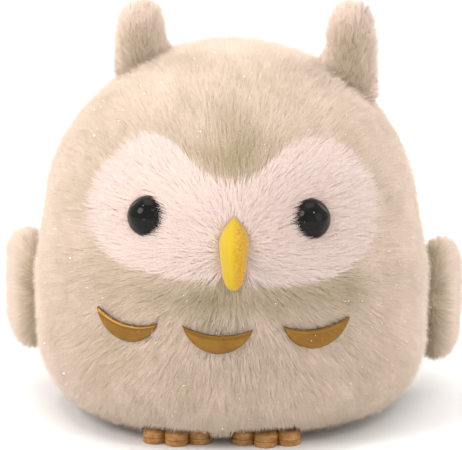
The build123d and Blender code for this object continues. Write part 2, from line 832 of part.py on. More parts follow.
# ---- crescent patches on the belly --------------------------------------------------
# centre of the tips (x, z), half span, sag of the upper and the lower edge, tilt
crescent_sizes = {
    "crescent_left": ((-30.2, 45.2), 10.2, 2.8, 8.6, -7.6),
    "crescent_centre": ((-0.8, 43.1), 11.3, 2.4, 8.3, -2.5),
    "crescent_right": ((30.4, 43.8), 10.4, 2.3, 8.6, 3.0),
}
patch_thickness = 1.0


def arc_disc(place, half_span, sag, tilt, grow):
    """Disc swept along -Y whose lower edge is an arc through both tips of a crescent."""
    radius = (half_span**2 + sag**2) / (2 * sag)
    lift = radius - sag
    turn = math.radians(tilt)
    centre = (place[0] - lift * math.sin(turn), place[1] + lift * math.cos(turn))
    with BuildPart() as disc:
        with BuildSketch(Plane.XZ.offset(30)):
            with Locations(centre):
                Circle(radius + grow)
        extrude(amount=45)
    return disc.part


def crescent(layer, size, grow=0.0):
    """Part of a layer between the lower and the upper arc of a crescent."""
    place, half_span, upper_sag, lower_sag, tilt = size
    with BuildPart() as patch:
        add(arc_disc(place, half_span, lower_sag, tilt, grow))
        add(arc_disc(place, half_span, upper_sag, tilt, -grow), mode=Mode.SUBTRACT)
        add(layer, mode=Mode.INTERSECT)
    return patch.part


patch_layer = plush_layer(0, patch_thickness)
pocket_layer = plush_layer(-1, patch_thickness + 0.15)

with BuildPart() as crescent_left:
    add(crescent(patch_layer, crescent_sizes["crescent_left"]))

with BuildPart() as crescent_centre:
    add(crescent(patch_layer, crescent_sizes["crescent_centre"]))

with BuildPart() as crescent_right:
    add(crescent(patch_layer, crescent_sizes["crescent_right"]))

# ---- belly --------------------------------------------------------------------------
foot_room = 2 * toe_pitch + 2 * toe_radius + 2 * soft_gap

with BuildPart() as belly_skin:
    add(skin_layer)
    add(below_neck, mode=Mode.INTERSECT)
    with BuildSketch(Plane.XY.offset(-5)):
        add(base_outline(2 * soft_gap))
    extrude(amount=20, mode=Mode.SUBTRACT)
    for x in foot_places:
        with Locations((x, -42, 0)):
            Box(foot_room, 24, 2 * (toe_height + 1.5), mode=Mode.SUBTRACT)
    for size in crescent_sizes.values():
        add(crescent(pocket_layer, size, 0.15), mode=Mode.SUBTRACT)

with BuildPart() as belly_wadding:
    add(wadding_form)
    add(below_neck, mode=Mode.INTERSECT)
    with BuildSketch(Plane.XY.offset(-5)):
        add(base_outline(2 * soft_gap))
    extrude(amount=housing_bottom + 5.4, mode=Mode.SUBTRACT)
    with Locations((0, 0, housing_bottom)):
        Box(84, 51, 80, align=(Align.CENTER, Align.CENTER, Align.MIN), mode=Mode.SUBTRACT)
    with Locations((0, base_depth / 2 + 1.2, groove_bottom + groove_height / 2)):
        Box(6, 4, 5, mode=Mode.SUBTRACT)

# ---- head frame ---------------------------------------------------------------------
frame_height = 60.0
frame_width = 66.0
frame_depth = 46.0
dome_height = 42.0
head_boss_places = [(x, y) for x in (-25, 25) for y in (-15, 15)]
lever_thickness = 3.0
slot_middle = crank_centre[1] - crank_throw / 2
slot_width = 2 * pin_radius + 1.0

with BuildPart() as head_frame:
    with BuildSketch(Plane.XY.offset(frame_height)):
        RectangleRounded(frame_width, frame_depth, 12)
        with Locations(*head_boss_places):
            Circle(1.2, mode=Mode.SUBTRACT)
    extrude(amount=2)
    add(pivot_lug(25.5, 4.0, frame_height + 0.5))
    add(pivot_lug(-27.0, 7.0, frame_height + 0.5))
    # lever that hangs into the housing, with the slot that the crank pin works in
    with BuildSketch(Plane.YZ.offset(lever_x - lever_thickness / 2)):
        lever_end = slot_middle - slot_width / 2 - 3.4
        with Locations((0, (pivot_height + lever_end) / 2)):
            SlotOverall(pivot_height - lever_end + 2 * lug_radius, 2 * lug_radius + 0.4, rotation=90)
    extrude(amount=lever_thickness)
    with BuildSketch(Plane.YZ.offset(lever_x - lever_thickness)):
        with Locations((0, slot_middle)):
            SlotOverall(slot_width + crank_throw + 0.9, slot_width, rotation=90)
    extrude(amount=2 * lever_thickness, mode=Mode.SUBTRACT)
    with BuildSketch(Plane.YZ.offset(-35)):
        with Locations((0, pivot_height)):
            Circle(pin_radius + running_gap)
    extrude(amount=70, mode=Mode.SUBTRACT)


def dome_form(grow):
    """Rounded block that gives the head its firm core."""
    with BuildPart() as block:
        with BuildSketch(Plane.XY.offset(frame_height + 2 + fit_gap)):
            RectangleRounded(frame_width + 2 * grow, frame_depth + 2 * grow, 12 + grow)
        extrude(amount=dome_height + grow)
        fillet(block.edges().group_by(Axis.Z)[-1], 10)
    return block.part


with BuildPart() as head_dome:
    add(dome_form(0))
    add(dome_form(-2), mode=Mode.SUBTRACT)
    with BuildSketch(Plane.XY.offset(frame_height + 2 + fit_gap)):
        RectangleRounded(frame_width - 4, frame_depth - 4, 10)
    extrude(amount=4, mode=Mode.SUBTRACT)
    # screw posts, joined to the end walls by webs
    with BuildSketch(Plane.XY.offset(frame_height + 2 + fit_gap)):
        with Locations(*head_boss_places):
            Circle(2.6)
        for x, y in head_boss_places:
            with Locations((x * 1.14, y)):
                Rectangle(7.0, 1.4)
    extrude(amount=10)
    with BuildSketch(Plane.XY.offset(frame_height + 2)):
        with Locations(*head_boss_places):
            Circle(1.0 + fit_gap)
    extrude(amount=8.5, mode=Mode.SUBTRACT)

with BuildPart() as head_screws:
    for place in head_boss_places:
        with Locations((*place, frame_height - fit_gap)):
            add(pan_screw(1.0, 9.5, 2.0, 1.3))


# ---- eyes and beak ------------------------------------------------------------------
eye_depth = 4.6  # rim of the dome below the tips of the fur
eye_shank = 11.0
washer_depth = skin_thickness + soft_gap + 0.7


def eye_plane(x, z):
    """Plane on the fur's surface at (x, z), facing outwards."""
    y = surface_y(x, z)
    outward = Vector(x, y, 0).normalized()
    return Plane((x, y, z), z_dir=outward + Vector(0, 0, 0.2))


eye_planes = [eye_plane(face_middle - 27.8, 77.0), eye_plane(face_middle + 27.5, 76.3)]


def safety_eye(plane):
    """Domed eye with a flange and a ribbed shank that passes through the cloth."""
    with BuildPart(plane.offset(-eye_depth)) as eye:
        Sphere(eye_radius, arc_size1=0, align=(Align.CENTER, Align.CENTER, Align.MIN))
        Cylinder(eye_radius, 0.5, align=(Align.CENTER, Align.CENTER, Align.MAX))
        Cylinder(1.7, eye_shank, align=(Align.CENTER, Align.CENTER, Align.MAX))
        with Locations(*[(0, 0, -5.0 - 1.5 * step) for step in range(4)]):
            Cylinder(1.8, 0.7)
    return eye.part


with BuildPart() as eye_left:
    add(safety_eye(eye_planes[0]))

with BuildPart() as eye_right:
    add(safety_eye(eye_planes[1]))

with BuildPart(*[plane.offset(-washer_depth) for plane in eye_planes]) as eye_washers:
    Cylinder(7.5, 1.2, align=(Align.CENTER, Align.CENTER, Align.MAX))
    Cylinder(1.83, 4, mode=Mode.SUBTRACT)

with BuildPart(*[plane.offset(-eye_depth - 0.6) for plane in eye_planes]) as eye_pockets:
    Cylinder(eye_radius + 0.2, 20, align=(Align.CENTER, Align.CENTER, Align.MIN))
    Cylinder(2.0, 13, align=(Align.CENTER, Align.CENTER, Align.MAX))

with BuildPart(*[plane.offset(0.3 - washer_depth) for plane in eye_planes]) as washer_pockets:
    Cylinder(7.9, 2.0, align=(Align.CENTER, Align.CENTER, Align.MAX))

beak_half_width = 4.8
beak_half_height = 12.2
beak_reach = 8.6
beak_x = face_middle + 1.8
beak_z = 65.7
beak_place = (beak_x, surface_y(beak_x, beak_z) + 0.8, beak_z)

with BuildPart() as beak:
    with Locations(beak_place):
        Sphere(beak_half_width)
    stretch = (1, beak_reach / beak_half_width, beak_half_height / beak_half_width)
    scale(by=stretch, about=beak_place)
    add(raised_form, mode=Mode.SUBTRACT)

# ---- face and head skin -------------------------------------------------------------
def mask_prism(size=1.0):
    """Goggle-shaped outline of the white face, swept along Y through the front."""
    with BuildPart() as prism:
        with BuildSketch(Plane.XZ):
            with BuildLine():
                Spline(
                    (3.7, 87.5),
                    (11.6, 90.0),
                    (19.1, 96.7),
                    (30.0, 98.7),
                    (42.2, 90.8),
                    (48.6, 75.5),
                    (45.4, 62.2),
                    (36.0, 57.2),
                    (22.0, 55.3),
                    (3.0, 55.2),
                    (-10.0, 57.2),
                    (-26.0, 59.5),
                    (-40.0, 65.5),
                    (-42.8, 78.0),
                    (-35.2, 92.5),
                    (-21.8, 100.6),
                    (-14.0, 97.2),
                    (-6.0, 90.2),
                    periodic=True,
                )
            make_face()
            scale(by=size, about=(face_middle, 77.0, 0))
        extrude(amount=70)
    return prism.part


with BuildPart() as head_skin:
    add(skin_layer)
    add(above_neck, mode=Mode.INTERSECT)
    add(mask_prism(), mode=Mode.SUBTRACT)

with BuildPart() as face_mask:
    add(mask_prism(0.994))
    add(skin_layer, mode=Mode.INTERSECT)
    add(eye_pockets.part, mode=Mode.SUBTRACT)

with BuildPart() as head_wadding:
    add(wadding_form)
    add(above_neck, mode=Mode.INTERSECT)
    add(dome_form(soft_gap), mode=Mode.SUBTRACT)
    with Locations((0, 0, 40)):
        Box(70, 50, 22.6, align=(Align.CENTER, Align.CENTER, Align.MIN), mode=Mode.SUBTRACT)
    add(eye_pockets.part, mode=Mode.SUBTRACT)
    add(washer_pockets.part, mode=Mode.SUBTRACT)


# ---- ears ---------------------------------------------------------------------------
def ear(x, lean):
    """Rounded stuffed tab that stands on the crown, narrower at its tip."""
    with BuildPart() as tab:
        with BuildSketch(Plane.XZ.offset(-7)) as tip:
            Polygon(
                (x - lean * ear_outer_foot, 101.0),
                (x + lean * ear_inner_foot, 104.0),
                (x + lean * ear_inner_tip, ear_height),
                (x - lean * ear_outer_tip, ear_height),
                align=None,
            )
            fillet(tip.vertices().group_by(Axis.Y)[-1], 7.5)
        extrude(amount=11)
        rims = tab.faces().filter_by(Axis.Y).edges()
        fillet([edge for edge in rims if edge.center().Z > 107], 3.0)
        add(raised_form, mode=Mode.SUBTRACT)
    return tab.part


with BuildPart() as ear_left:
    add(ear(ear_middle - ear_spread, 1))

with BuildPart() as ear_right:
    add(ear(ear_middle + ear_spread, -1))

# ---- wings --------------------------------------------------------------------------
wing_root = (68.7, 14.9)
wing_flares = {-1: 18.0, 1: 12.0}  # degrees that each wing stands off the body's side
wing_heights = {-1: 34.2, 1: 31.8}


def wing(side):
    """Stuffed paddle that trails backwards from its seam."""
    flare = math.radians(wing_flares[side])
    along = Vector(side * math.sin(flare), math.cos(flare))
    root = Vector(side * wing_root[0], wing_root[1], wing_heights[side])
    normal = along.cross(Vector(0, 0, 1))
    with BuildPart() as paddle:
        with BuildSketch(Plane(root, x_dir=along, z_dir=normal)):
            with Locations((wing_length / 2 - wing_thickness / 2, 0)):
                RectangleRounded(wing_length, wing_height, 13)
        extrude(amount=wing_thickness / 2, both=True)
        faces = paddle.faces().sort_by(SortBy.AREA)[-2:]
        fillet(faces.edges(), wing_thickness / 2 - 0.2)
    return paddle.part


with BuildPart() as wing_left:
    add(wing(-1))

with BuildPart() as wing_right:
    add(wing(1))

pieces = {
    "base_tub": base_tub,
    "base_cover": base_cover,
    "base_screws": base_screws,
    "hem_tie": hem_tie,
    "foot_left": foot_left,
    "foot_right": foot_right,
    "foot_screws": foot_screws,
    "batteries": batteries,
    "battery_contacts": battery_contacts,
    "battery_door": battery_door,
    "door_screw": door_screw,
    "speaker_frame": speaker_frame,
    "speaker_cone": speaker_cone,
    "speaker_magnet": speaker_magnet,
    "switch_body": switch_body,
    "switch_knob": switch_knob,
    "housing_front": housing_front,
    "housing_back": housing_back,
    "housing_screws": housing_screws,
    "hinge_pin": hinge_pin,
    "crank_gear": crank_gear,
    "crank_arm": crank_arm,
    "gear_2": gear_2,
    "gear_1": gear_1,
    "motor_pinion": motor_pinion,
    "motor_shaft": motor_shaft,
    "motor_can": motor_can,
    "motor_end_cap": motor_end_cap,
    "gearbox_plate_inner": gearbox_plate_inner,
    "gearbox_plate_outer": gearbox_plate_outer,
    "gear_axles": gear_axles,
    "circuit_board": circuit_board,
    "board_components": board_components,
    "mic_grommet": mic_grommet,
    "microphone": microphone,
    "battery_leads": battery_leads,
    "speaker_leads": speaker_leads,
    "motor_leads": motor_leads,
    "mic_leads": mic_leads,
    "crescent_left": crescent_left,
    "crescent_centre": crescent_centre,
    "crescent_right": crescent_right,
    "belly_skin": belly_skin,
    "belly_wadding": belly_wadding,
    "head_frame": head_frame,
    "head_dome": head_dome,
    "head_screws": head_screws,
    "head_wadding": head_wadding,
    "head_skin": head_skin,
    "face_mask": face_mask,
    "eye_left": eye_left,
    "eye_right": eye_right,
    "eye_washers": eye_washers,
    "beak": beak,
    "ear_left": ear_left,
    "ear_right": ear_right,
    "wing_left": wing_left,
    "wing_right": wing_right,
}
for label, piece in pieces.items():
    piece.part.label = label
    export_step(piece.part, f"parts/{label}.step")
print(f"{len(pieces)} pieces written")
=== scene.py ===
import math

import bmesh
import bpy
import numpy as np
from mathutils import Matrix, Vector
from mathutils.bvhtree import BVHTree
from mathutils.kdtree import KDTree
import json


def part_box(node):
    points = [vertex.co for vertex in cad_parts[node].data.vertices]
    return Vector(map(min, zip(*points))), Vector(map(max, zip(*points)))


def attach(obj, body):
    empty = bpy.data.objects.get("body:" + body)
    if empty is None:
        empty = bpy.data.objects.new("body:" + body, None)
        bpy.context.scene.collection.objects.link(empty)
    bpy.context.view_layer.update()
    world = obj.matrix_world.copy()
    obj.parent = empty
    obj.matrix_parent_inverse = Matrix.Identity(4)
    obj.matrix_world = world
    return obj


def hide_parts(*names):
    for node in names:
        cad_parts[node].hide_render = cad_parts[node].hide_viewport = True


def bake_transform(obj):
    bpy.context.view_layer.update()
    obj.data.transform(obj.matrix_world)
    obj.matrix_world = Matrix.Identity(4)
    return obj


# A plush owl: a fur body on a plastic base, a nodding head with a white face, stuffed ears,
# wings and beak, glossy eyes, three foil crescents and two three-toed feet.
# Metres, +Z up, the owl faces -Y. Lengths written in millimetres are times MM.

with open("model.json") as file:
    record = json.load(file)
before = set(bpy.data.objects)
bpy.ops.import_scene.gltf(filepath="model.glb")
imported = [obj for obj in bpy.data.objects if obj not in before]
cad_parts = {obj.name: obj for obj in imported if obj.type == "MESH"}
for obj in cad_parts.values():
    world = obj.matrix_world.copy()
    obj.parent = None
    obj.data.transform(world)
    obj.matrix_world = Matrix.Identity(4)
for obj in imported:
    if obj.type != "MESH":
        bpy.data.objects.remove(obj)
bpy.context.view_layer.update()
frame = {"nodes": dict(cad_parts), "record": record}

MM = 0.001

# ---- sizes that follow the CAD model ------------------------------------------------
HALF_WIDTH = 66.2 * MM
PLUSH_BOTTOM = 0.5 * MM
PLUSH_TOP = 126.2 * MM
HEEL_RADIUS = 26.0 * MM
WAIST_TOP = 50.0 * MM
CROWN_RADIUS = 63.5 * MM
CROWN_ANGLE = math.radians(15)
CROWN_HEIGHT = PLUSH_TOP - CROWN_RADIUS
BASE_HALF = (42.0 * MM, 35.0 * MM)
BASE_CORNER = 24.0 * MM
BASE_CLEARANCE = 0.8 * MM
NECK_LOW = 39.0 * MM  # below this the cloth follows the base
NECK_HIGH = 70.0 * MM  # above this it follows the head
FACE_MIDDLE = 2.3 * MM
EYE_RADIUS = 6.75 * MM
EYE_DEPTH = 4.6 * MM  # from the fur tips down to the eye's rim
EYE_UPTURN = 0.2  # how far the eyes look up, as a slope
EYE_PLACES = {"left": (-25.5 * MM, 77.0 * MM), "right": (29.8 * MM, 76.3 * MM)}
BEAK_PLACE = (4.1 * MM, 65.7 * MM)
TOE_TOP = 5.0 * MM
TOE_BACK = -34 * MM  # the toes stick out in front of this
TOE_MARGIN = 0.4 * MM  # room for the fur beside the toes; more above them
CRESCENTS = {
    # middle x, middle z, half span, upper sag and lower sag in mm, then tilt in degrees
    "left": (-30.2, 45.2, 10.2, 2.8, 8.6, -7.6),
    "centre": (-0.8, 43.1, 11.3, 2.4, 8.3, -2.5),
    "right": (30.4, 43.8, 10.4, 2.3, 8.6, 3.0),
}

# ---- sizes of the fur ---------------------------------------------------------------
SKIN_INSET = 3.6 * MM  # backing cloth below the fur tips
FUR_LENGTH = 6.2 * MM
FUR_WIDTH = 0.21 * MM
FUR_LEAN = math.radians(52)
BODY_DENSITY = 7.6e6  # strands per square metre
EYE_SURROUND = 5 * MM  # around an eye, where the fur stands up and is shorter
STRAY = 0.30  # share of each strand's direction that is its own
WANDER = (0.22, 13 * MM)  # share and wavelength of the broad swirls
SWIRL = (0.16, 5 * MM)  # and of the fine ones
LEAN_SPREAD = 0.14  # random spreads: radians, then shares of length and of width
LENGTH_SPREAD = 0.12
WIDTH_SPREAD = 0.15
TONE_SPREAD = (0.09, 0.05)  # of each strand, and of the tuft that it is drawn to
TUFT_STRANDS = 14
TUFT_SPACING = 1.3 * MM
TUFT_PULL = 0.30
PATCH_KEEP = 0.82  # height that the fur keeps under a foil patch
FACE_FRONT = -10 * MM  # the face lies in front of this
FACE_REACH = 40 * MM  # how far ahead of the fur the face's outline is looked for
HEM_LEVEL = 2.6 * MM  # no fur hangs lower than this
WHITE_LEVEL = 0.78  # tone of the face
FUR_PARTS = 5  # sectors of each band, so that no piece gets too many faces
FLAKES_PER_PART = 320
FLAKE_SIZE = (0.16, 0.30)  # in mm
FULL_TURN = 6.28
PILE_DENSITY = 11.0e6  # of the shorter pile on ears and wings
PILE_LENGTH = 5.0 * MM


# ---- small helpers ------------------------------------------------------------------
def linear(red, green, blue):
    """Linear colour from 8-bit display values."""
    values = []
    for value in (red, green, blue):
        share = value / 255
        values.append(share / 12.92 if share <= 0.04045 else ((share + 0.055) / 1.055) ** 2.4)
    return (*values, 1.0)


def unit(vectors):
    """Rows scaled to length one."""
    return vectors / np.maximum(np.linalg.norm(vectors, axis=-1, keepdims=True), 1e-12)


def dot(a, b):
    """Row-wise scalar product, kept as a column."""
    return np.sum(a * b, axis=-1, keepdims=True)


def make_object(name, mesh):
    """New object in the scene."""
    obj = bpy.data.objects.new(name, mesh)
    bpy.context.scene.collection.objects.link(obj)
    return obj


def weld(mesh, distance, fill=False, sliver=None):
    """Merge points that meet, close holes or drop slivers if asked, turn faces outwards."""
    build = bmesh.new()
    build.from_mesh(mesh)
    bmesh.ops.remove_doubles(build, verts=build.verts, dist=distance)
    if fill:
        bmesh.ops.holes_fill(build, edges=build.edges)
    if sliver:
        bmesh.ops.dissolve_degenerate(build, edges=build.edges, dist=sliver)
    bmesh.ops.recalc_face_normals(build, faces=build.faces)
    build.to_mesh(mesh)
    build.free()


def smooth_waves(points, wavelength, seed, count=7):
    """Smooth random field between about -1 and 1, made of a few crossing waves."""
    waves = np.random.default_rng(seed)
    total = np.zeros(len(points))
    for _ in range(count):
        direction = unit(waves.normal(size=3))
        length = wavelength * waves.uniform(0.7, 1.5)
        phase = waves.uniform(0, 2 * math.pi)
        total += np.sin(points @ direction * (2 * math.pi / length) + phase)
    return total / math.sqrt(count)


# ---- materials ----------------------------------------------------------------------
def new_material(name):
    """Material with a Principled shader; returns it, its nodes, its links and the shader."""
    material = bpy.data.materials.new(name)
    material.use_nodes = True
    tree = material.node_tree
    return material, tree.nodes, tree.links, tree.nodes["Principled BSDF"]


def fibre_material(name, colour, rough=0.75, sheen=0.35, metallic=0.0):
    """One tone of fur fibre."""
    material, _, _, shader = new_material(name)
    shader.inputs["Base Color"].default_value = colour
    shader.inputs["Roughness"].default_value = rough
    shader.inputs["Metallic"].default_value = metallic
    shader.inputs["Sheen Weight"].default_value = sheen
    shader.inputs["Sheen Roughness"].default_value = 0.5
    shader.inputs["Sheen Tint"].default_value = (1, 0.86, 0.80, 1)
    return material


def add_noise(material, place, scale, detail):
    """Noise node over the points that a socket gives."""
    noise = material.node_tree.nodes.new("ShaderNodeTexNoise")
    noise.inputs["Scale"].default_value = scale
    noise.inputs["Detail"].default_value = detail
    material.node_tree.links.new(place, noise.inputs["Vector"])
    return noise


def add_relief(material, noise, strength, depth):
    """Bump the material with one of its noise nodes."""
    nodes, links = material.node_tree.nodes, material.node_tree.links
    bump = nodes.new("ShaderNodeBump")
    bump.inputs["Strength"].default_value = strength
    bump.inputs["Distance"].default_value = depth
    links.new(noise.outputs["Fac"], bump.inputs["Height"])
    links.new(bump.outputs["Normal"], nodes["Principled BSDF"].inputs["Normal"])


def mottled_material(name, dark, light, scale, rough=(0.4, 0.6), bump=0.1, depth=0.0002, **fixed):
    """Two close colours mixed by noise, with roughness and fine relief from the same noise."""
    material, nodes, links, shader = new_material(name)
    place = nodes.new("ShaderNodeTexCoord")
    noise = add_noise(material, place.outputs["Object"], scale, 6)
    noise.inputs["Roughness"].default_value = 0.6
    ramp = nodes.new("ShaderNodeValToRGB")
    ramp.color_ramp.elements[0].position = 0.32
    ramp.color_ramp.elements[0].color = dark
    ramp.color_ramp.elements[1].position = 0.68
    ramp.color_ramp.elements[1].color = light
    links.new(noise.outputs["Fac"], ramp.inputs["Fac"])
    links.new(ramp.outputs["Color"], shader.inputs["Base Color"])
    spread = nodes.new("ShaderNodeMapRange")
    spread.inputs["To Min"].default_value = rough[0]
    spread.inputs["To Max"].default_value = rough[1]
    links.new(noise.outputs["Fac"], spread.inputs["Value"])
    links.new(spread.outputs["Result"], shader.inputs["Roughness"])
    grain = add_noise(material, place.outputs["Object"], scale * 6, 4)
    add_relief(material, grain, bump, depth)
    for socket, value in fixed.items():
        shader.inputs[socket.replace("_", " ")].default_value = value
    return material


def tone_steps(name, dark, light, count, **finish):
    """Row of fibre tones from dark to light."""
    steps = []
    for step in range(count):
        share = step / (count - 1)
        colour = tuple(a + (b - a) * share for a, b in zip(dark, light))
        steps.append(fibre_material(f"{name}_{step}", colour, **finish))
    return steps


TONES = 7  # steps from dark to light
GREY_TONES = tone_steps("grey_fibre", linear(172, 157, 118), linear(253, 230, 213), TONES)
WHITE_TONES = tone_steps("white_fibre", linear(244, 216, 204), linear(255, 236, 228), TONES)
SKIN_CLOTH = mottled_material(
    "backing_cloth", linear(206, 188, 160), linear(226, 208, 184), 420, rough=(0.85, 0.95), bump=0.4
)
FIBRE_FILL = mottled_material(
    "fibre_fill_white",
    linear(228, 226, 220),
    linear(248, 247, 244),
    180,
    rough=(0.85, 0.98),
    bump=0.6,
    depth=0.0008,
)
GLITTER = fibre_material("glitter_film", linear(255, 252, 244), rough=0.12, metallic=0.85)


# ---- the fur body -------------------------------------------------------------------
def profile(inset, steps=240):
    """Half outline of the body from the sole's middle to the crown, drawn in by inset."""
    heel = HEEL_RADIUS - inset
    ball = CROWN_RADIUS - inset
    sole = np.array([[0.0, PLUSH_BOTTOM + inset], [HALF_WIDTH - HEEL_RADIUS, PLUSH_BOTTOM + inset]])
    turn = np.linspace(0, math.pi / 2, 40)
    heel_line = np.stack(
        [
            HALF_WIDTH - HEEL_RADIUS + heel * np.sin(turn),
            PLUSH_BOTTOM + HEEL_RADIUS - heel * np.cos(turn),
        ],
        axis=1,
    )
    waist = np.array([[HALF_WIDTH - inset, WAIST_TOP]])
    rise = np.linspace(CROWN_ANGLE, math.pi / 2, 80)
    crown = np.stack([ball * np.cos(rise), CROWN_HEIGHT + ball * np.sin(rise)], axis=1)
    line = np.concatenate([sole, heel_line[1:], waist, crown])
    run = np.concatenate([[0], np.cumsum(np.linalg.norm(np.diff(line, axis=0), axis=1))])
    even = np.linspace(0, run[-1], steps)
    return np.stack([np.interp(even, run, line[:, 0]), np.interp(even, run, line[:, 1])], axis=1)


def base_reach(angle):
    """Distance from the middle to the base's rounded outline, in one direction."""
    across, along = abs(math.cos(angle)), abs(math.sin(angle))
    flat_x = BASE_HALF[0] - BASE_CORNER
    flat_y = BASE_HALF[1] - BASE_CORNER
    if across * flat_y >= along * BASE_HALF[0]:
        return BASE_HALF[0] / across
    if along * flat_x >= across * BASE_HALF[1]:
        return BASE_HALF[1] / along
    middle = flat_x * across + flat_y * along
    return middle + math.sqrt(middle**2 - flat_x**2 - flat_y**2 + BASE_CORNER**2)


def front_y(x, z, inset=0.0):
    """Front of the fur body at (x, z), above the heel."""
    outline = profile(inset)
    upper = outline[outline[:, 1] >= PLUSH_BOTTOM + HEEL_RADIUS]
    radius = np.interp(z, upper[:, 1], upper[:, 0])
    return -np.sqrt(np.maximum(radius**2 - x**2, 0))


def eye_frame(side):
    """Middle of an eye's rim plane and the direction that it looks in."""
    x, z = EYE_PLACES[side]
    y = float(front_y(x, z))
    outward = Vector((x, y, 0)).normalized() + Vector((0, 0, EYE_UPTURN))
    outward.normalize()
    return Vector((x, y, z)) - outward * EYE_DEPTH, outward


def body_form(inset, around=132, up=96):
    """Grid of the sewn body: (up, around, 3) points from the base's edge to the crown."""
    outline = profile(inset, 600)
    lower = outline[: np.argmax(outline[:, 0] >= HALF_WIDTH - inset - 1e-6)]
    rows = []
    for step in range(around):
        angle = 2 * math.pi * step / around
        start = np.interp(base_reach(angle) + BASE_CLEARANCE, lower[:, 0], np.arange(len(lower)))
        at = np.linspace(start, len(outline) - 1, up)
        radius = np.interp(at, np.arange(len(outline)), outline[:, 0])
        height = np.interp(at, np.arange(len(outline)), outline[:, 1])
        rows.append(
            np.stack([radius * math.cos(angle), radius * math.sin(angle), height], axis=1)
        )
    return np.stack(rows, axis=1)


def grid_faces(up, around):
    """Quads of a grid that closes on itself sideways."""
    faces = []
    for i in range(up - 1):
        for j in range(around):
            k = (j + 1) % around
            low, high = i * around, (i + 1) * around
            faces.append((low + j, low + k, high + k, high + j))
    return faces


def press_in(points, middle, radius, depth):
    """Dimple that draws points towards the body's axis around a middle."""
    distance = np.linalg.norm(points - np.array(middle), axis=1)
    pull = depth * np.exp(-((distance / radius) ** 2))
    inward = -points * np.array([1, 1, 0])
    return points + unit(inward) * pull[:, None]


def body_points():
    """Backing cloth of the body, with soft lumps, the eyes' pull and a crease under the face."""
    grid = body_form(SKIN_INSET)
    up, around, _ = grid.shape
    points = grid.reshape(-1, 3)
    middle = np.array([0, 0, CROWN_HEIGHT])
    outward = unit(points - middle)
    points = points + outward * (smooth_waves(points, 60 * MM, 5) * 0.5 * MM)[:, None]
    for side in EYE_PLACES:
        rim, _ = eye_frame(side)
        points = press_in(points, rim, 11 * MM, 1.4 * MM)
    crease = np.array([FACE_MIDDLE, float(front_y(FACE_MIDDLE, 54 * MM)), 54 * MM])
    points = press_in(points, crease, 16 * MM, 1.2 * MM)
    return points, up, around


def body_skin():
    """Backing cloth of belly, head and face as one sewn sheet with a thickness."""
    points, up, around = body_points()
    faces = grid_faces(up, around)
    mesh = bpy.data.meshes.new("body_skin")
    mesh.from_pydata(points.tolist(), [], faces)
    weld(mesh, 0.02 * MM)
    mesh.shade_smooth()
    obj = make_object("body_skin", mesh)
    thick = obj.modifiers.new("cloth", "SOLIDIFY")
    thick.thickness = 0.7 * MM
    thick.offset = -1
    apply_modifiers(obj)
    obj.data.materials.append(SKIN_CLOTH)
    return obj


def apply_modifiers(obj):
    """Replace the object's mesh with its evaluated one and drop its modifiers."""
    graph = bpy.context.evaluated_depsgraph_get()
    mesh = bpy.data.meshes.new_from_object(obj.evaluated_get(graph))
    obj.modifiers.clear()
    obj.data = mesh


# ---- fur ----------------------------------------------------------------------------
def scatter(points, faces, density, seed):
    """Even random places on a triangulated surface, with the surface's direction there."""
    draw = np.random.default_rng(seed)
    a, b, c = (points[faces[:, k]] for k in range(3))
    cross = np.cross(b - a, c - a)
    area = np.linalg.norm(cross, axis=1) / 2
    corner_normals = np.zeros_like(points)
    for k in range(3):
        np.add.at(corner_normals, faces[:, k], cross)
    corner_normals = unit(corner_normals)
    count = int(area.sum() * density)
    picked = draw.choice(len(faces), count, p=area / area.sum())
    u, v = draw.random((2, count, 1))
    swap = u + v > 1
    u, v = np.where(swap, 1 - u, u), np.where(swap, 1 - v, v)
    w = 1 - u - v
    place = a[picked] * w + b[picked] * u + c[picked] * v
    n0, n1, n2 = (corner_normals[faces[picked, k]] for k in range(3))
    return place, unit(n0 * w + n1 * u + n2 * v)


def clump(roots, tips, spacing, strength, seed):
    """Draw the tips of neighbouring strands together into tufts."""
    draw = np.random.default_rng(seed)
    count = max(8, int(len(roots) / TUFT_STRANDS))
    chosen = draw.choice(len(roots), count, replace=False)
    tree = KDTree(count)
    for index, which in enumerate(chosen):
        tree.insert(roots[which], index)
    tree.balance()
    nearest = np.array([tree.find(root)[1] for root in roots])
    leader = chosen[nearest]
    reach = np.linalg.norm(roots - roots[leader], axis=1, keepdims=True)
    share = strength * np.clip(1.5 - reach / spacing, 0, 1)
    return tips + (tips[leader] - tips) * share, leader


def soften_normals(mesh, out, share=0.72):
    """Turn the shading of thin strands towards the surface that they grow on.

    The normals are plain vectors on the points, which also hold when a piece bends."""
    own = np.empty(len(mesh.vertices) * 3, np.float32)
    mesh.vertex_normals.foreach_get("vector", own)
    mixed = unit(own.reshape(-1, 3) * (1 - share) + out * share)
    free = mesh.attributes.new("custom_normal", "FLOAT_VECTOR", "POINT")
    free.data.foreach_set("vector", mixed.astype(np.float32).ravel())
    mesh.update()


